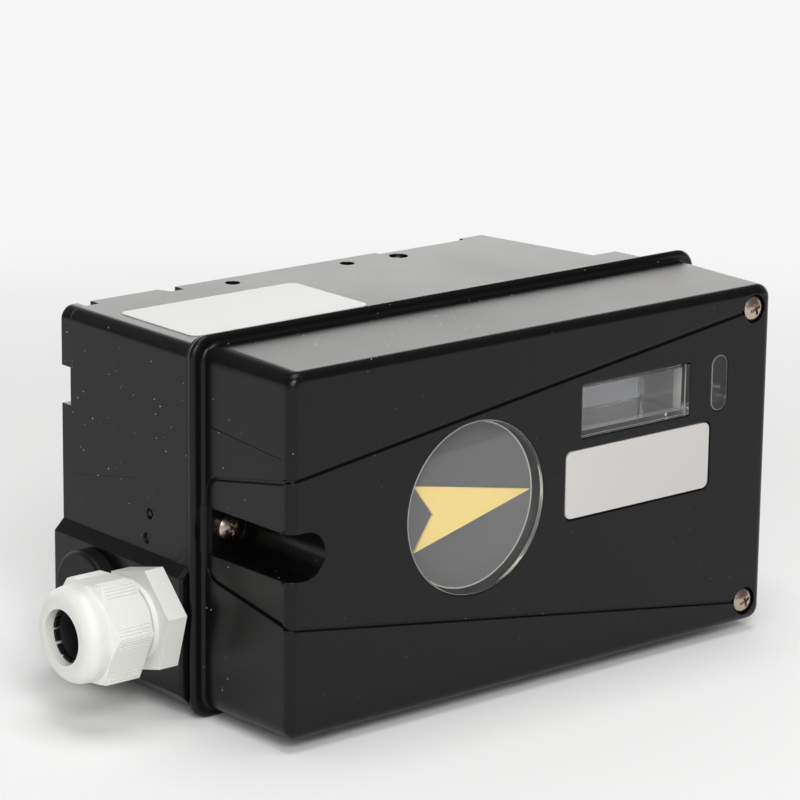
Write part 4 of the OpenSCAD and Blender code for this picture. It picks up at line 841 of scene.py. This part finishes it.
class POSITIONER_OT_shroud(bpy.types.Operator):
    """Make the grey shroud, and in front of it a pale band of painted light, round the display's
    clear box
    """

    bl_idname = "positioner.shroud"
    bl_label = "Display shroud"

    def execute(self, context):
        sizes = context.scene.positioner_sizes
        colours = context.scene.positioner_colours
        low, high = (Vector(corner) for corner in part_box("display_window"))
        side = sizes.pane_ring - sizes.shroud_room
        front = low.y + sizes.pane_depth + sizes.shroud_gap
        joint = front + sizes.seal_depth
        low = Vector((low.x + side, front, low.z + side))
        high = Vector((high.x - side, high.y, high.z - side))
        section = (sizes.shroud_corner, sizes.shroud_room - 2 * SKIN, sizes.soft_edge)
        # Pale band in front of the shroud: painted light at the front of the display's walls
        seal = square_tube(low, Vector((high.x, joint, high.z)), *section)
        settle(seal, "display_seal", "cover", finish_of("seal", colours))
        shroud = square_tube(Vector((low.x, joint, low.z)), high, *section)
        settle(shroud, "display_shroud", "cover", finish_of("shroud", colours))
        return {"FINISHED"}


class POSITIONER_OT_ribs(bpy.types.Operator):
    """Make the grip ribs on the gland's nut and the rubber lip inside its fingers"""

    bl_idname = "positioner.ribs"
    bl_label = "Gland ribs and lip"

    def execute(self, context):
        sizes = context.scene.positioner_sizes
        colours = context.scene.positioner_colours
        low, high = (Vector(corner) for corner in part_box("gland_nut"))
        axis = (low + high) / 2
        flat = sizes.nut_flat
        half_side = flat * math.tan(math.pi / 6)
        start = high.x - sizes.rib_setback
        half = Vector((0, sizes.rib_height, sizes.rib_width / 2))
        first = block(Vector((start - sizes.rib_length, axis.y + flat, axis.z)) - half,
                      Vector((start, axis.y + flat, axis.z)) + half)
        bpy.ops.object.mode_set(mode="EDIT")
        select_where(first, "edges", lambda e: all(v.co.y > axis.y + flat for v in e.verts))
        bpy.ops.mesh.bevel(offset=sizes.rib_width / 3, segments=2, affect="EDGES")
        bpy.ops.object.mode_set(mode="OBJECT")
        copies = []
        for side in range(6):
            angle = sizes.nut_turn + math.pi / 6 + side * math.pi / 3
            for end_of_side in (-1, 1):
                for i in range(sizes.rib_count):
                    rib = bpy.data.objects.new("rib", first.data.copy())
                    context.scene.collection.objects.link(rib)
                    along = end_of_side * (half_side - sizes.rib_margin - i * sizes.rib_pitch)
                    rib.data.transform(
                        Matrix.Translation((0, axis.y, axis.z)) @ Matrix.Rotation(angle, 4, "X")
                        @ Matrix.Translation((0, -axis.y, along - axis.z)))
                    copies.append(rib)
        bpy.data.objects.remove(first)
        select_only(copies[0])
        for rib in copies:
            rib.select_set(True)
        bpy.ops.object.join()
        settle(copies[0], "gland_ribs", "housing", finish_of("gland_grey", colours))
        front, rear = (Vector(corner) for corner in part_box("gland_clamp"))
        depth = rear.x - front.x - sizes.lip_setback
        lip = ring((rear.x - depth / 2, axis.y, axis.z), 0, depth, sizes.lip_radius,
                   sizes.lip_wall, sizes.soft_edge)
        settle(lip, "gland_lip", "housing", finish_of("rubber", colours))
        return {"FINISHED"}


def white_world():
    """World with a bright low sweep behind the object, and a darker room above and in front."""
    world = bpy.data.worlds.new("studio_white")
    world.use_nodes = True
    tree = world.node_tree
    tree.nodes.clear()
    heading = add_node(tree, "ShaderNodeTexCoord").outputs["Generated"]
    height = add_node(tree, "ShaderNodeSeparateXYZ", None, {"Vector": heading})
    # The sweep lies where the camera looks
    behind = add_node(tree, "ShaderNodeVectorMath",
                      {"operation": "DOT_PRODUCT", 1: (0.64, 0.77, 0)}, {0: heading})
    sweep = add_node(tree, "ShaderNodeMapRange",
                     {"From Min": 0.3, "From Max": 0.8, "interpolation_type": "SMOOTHSTEP"},
                     {"Value": behind.outputs["Value"]})
    low = add_node(tree, "ShaderNodeMapRange",
                   {"From Min": 0.5, "From Max": 0.32, "interpolation_type": "SMOOTHSTEP"},
                   {"Value": height.outputs["Z"]})
    wall = add_node(tree, "ShaderNodeMath", {"operation": "MULTIPLY"},
                    {0: sweep.outputs["Result"], 1: low.outputs["Result"]})
    # Strength of the sweep, and of the room
    strength = add_node(tree, "ShaderNodeMath", {"operation": "MULTIPLY_ADD", 1: 2.05, 2: 0.16},
                        {0: wall.outputs["Value"]})
    light = add_node(tree, "ShaderNodeBackground", {"Color": (*linear("#fffefc"), 1)},
                     {"Strength": strength.outputs["Value"]})
    add_node(tree, "ShaderNodeOutputWorld", None, {"Surface": light.outputs["Background"]})
    return world


def fitted_camera():
    """Camera fitted to the photograph's edges: angles in degrees, lengths in metres."""
    azimuth, elevation, roll = (math.radians(a) for a in (-40.06, 14.809, 0.718))
    aim = Vector((0.021, -0.090, -0.049))
    distance, shift_right, shift_up = 0.946443, -0.034589, 0.070888
    back = Vector((math.sin(azimuth) * math.cos(elevation),
                   -math.cos(azimuth) * math.cos(elevation), math.sin(elevation)))
    level = (-back).cross(Vector((0, 0, 1))).normalized()
    upright = level.cross(-back)
    right = math.cos(roll) * level + math.sin(roll) * upright
    up = -math.sin(roll) * level + math.cos(roll) * upright
    bpy.ops.object.camera_add()
    camera = bpy.context.object
    camera.name = "photo_camera"
    camera.data.sensor_width = 36
    camera.data.lens = 166.875
    camera.data.clip_start = 0.01
    camera.data.clip_end = 20
    place = aim + back * distance + right * shift_right + up * shift_up
    turn = Matrix((right, up, back)).transposed().to_4x4()
    camera.matrix_world = Matrix.Translation(place) @ turn
    return camera


class POSITIONER_OT_stage(bpy.types.Operator):
    """Make the floor, the lamps and the camera"""

    bl_idname = "positioner.stage"
    bl_label = "Studio"

    def execute(self, context):
        scene = context.scene
        scene.view_settings.view_transform = "Standard"
        bpy.ops.object.select_all(action="DESELECT")
        bpy.ops.mesh.primitive_plane_add(size=12, location=(0, 0, CAD_BOX[0][2] - SKIN))
        floor = context.object
        floor.name = "studio_floor"
        floor.data.materials.append(paper_floor(scene.positioner_colours.floor))
        scene.world = white_world()

        # Name, place, aim, width and height in metres, watts
        lamps = (
            ("key_softbox", (-0.55, -1.05, 0.85), (0, -0.04, 0), 0.45, 0.45, 7),
            ("fill_softbox", (-0.95, -1.15, 0.6), (0, -0.04, 0), 1.2, 0.7, 8.8),
            ("top_softbox", (0, -0.15, 1.4), (0, -0.1, 0), 0.9, 0.9, 10),
        )
        for name, place, aim, width, height, watts in lamps:
            bpy.ops.object.light_add(type="AREA", location=place)
            lamp = context.object
            lamp.name = name
            lamp.data.shape = "RECTANGLE"
            lamp.data.size = width
            lamp.data.size_y = height
            lamp.data.energy = watts
            lamp.rotation_euler = (Vector(aim) - Vector(place)).to_track_quat("-Z", "Y").to_euler()
        scene.camera = fitted_camera()
        return {"FINISHED"}


class POSITIONER_PT_pieces(bpy.types.Panel):
    """Lists the pieces and the studio in the sidebar"""

    bl_idname = "POSITIONER_PT_pieces"
    bl_label = "Valve positioner"
    bl_space_type = "VIEW_3D"
    bl_region_type = "UI"
    bl_category = "Positioner"

    def draw(self, context):
        for operator in OPERATORS:
            self.layout.operator(operator.bl_idname)
        for group in (context.scene.positioner_sizes, context.scene.positioner_colours):
            column = self.layout.column(align=True)
            for name in group.__annotations__:
                column.prop(group, name)


OPERATORS = (
    POSITIONER_OT_stage,
    POSITIONER_OT_castings,
    POSITIONER_OT_corners,
    POSITIONER_OT_lines,
    POSITIONER_OT_turned,
    POSITIONER_OT_plate,
    POSITIONER_OT_label,
    POSITIONER_OT_windows,
    POSITIONER_OT_panes,
    POSITIONER_OT_wells,
    POSITIONER_OT_shroud,
    POSITIONER_OT_ribs,
)
CLASSES = (PositionerSizes, PositionerColours, *OPERATORS, POSITIONER_PT_pieces)


def register():
    """Register the classes and attach the settings to the scene."""
    for entry in CLASSES:
        bpy.utils.register_class(entry)
    bpy.types.Scene.positioner_sizes = PointerProperty(type=PositionerSizes)
    bpy.types.Scene.positioner_colours = PointerProperty(type=PositionerColours)


def unregister():
    """Detach the settings and unregister the classes."""
    del bpy.types.Scene.positioner_colours
    del bpy.types.Scene.positioner_sizes
    for entry in reversed(CLASSES):
        bpy.utils.unregister_class(entry)


def main():
    """Build every piece."""
    register()
    for operator in OPERATORS:
        group, name = operator.bl_idname.split(".")
        getattr(getattr(bpy.ops, group), name)()


if __name__ == "__main__":
    main()
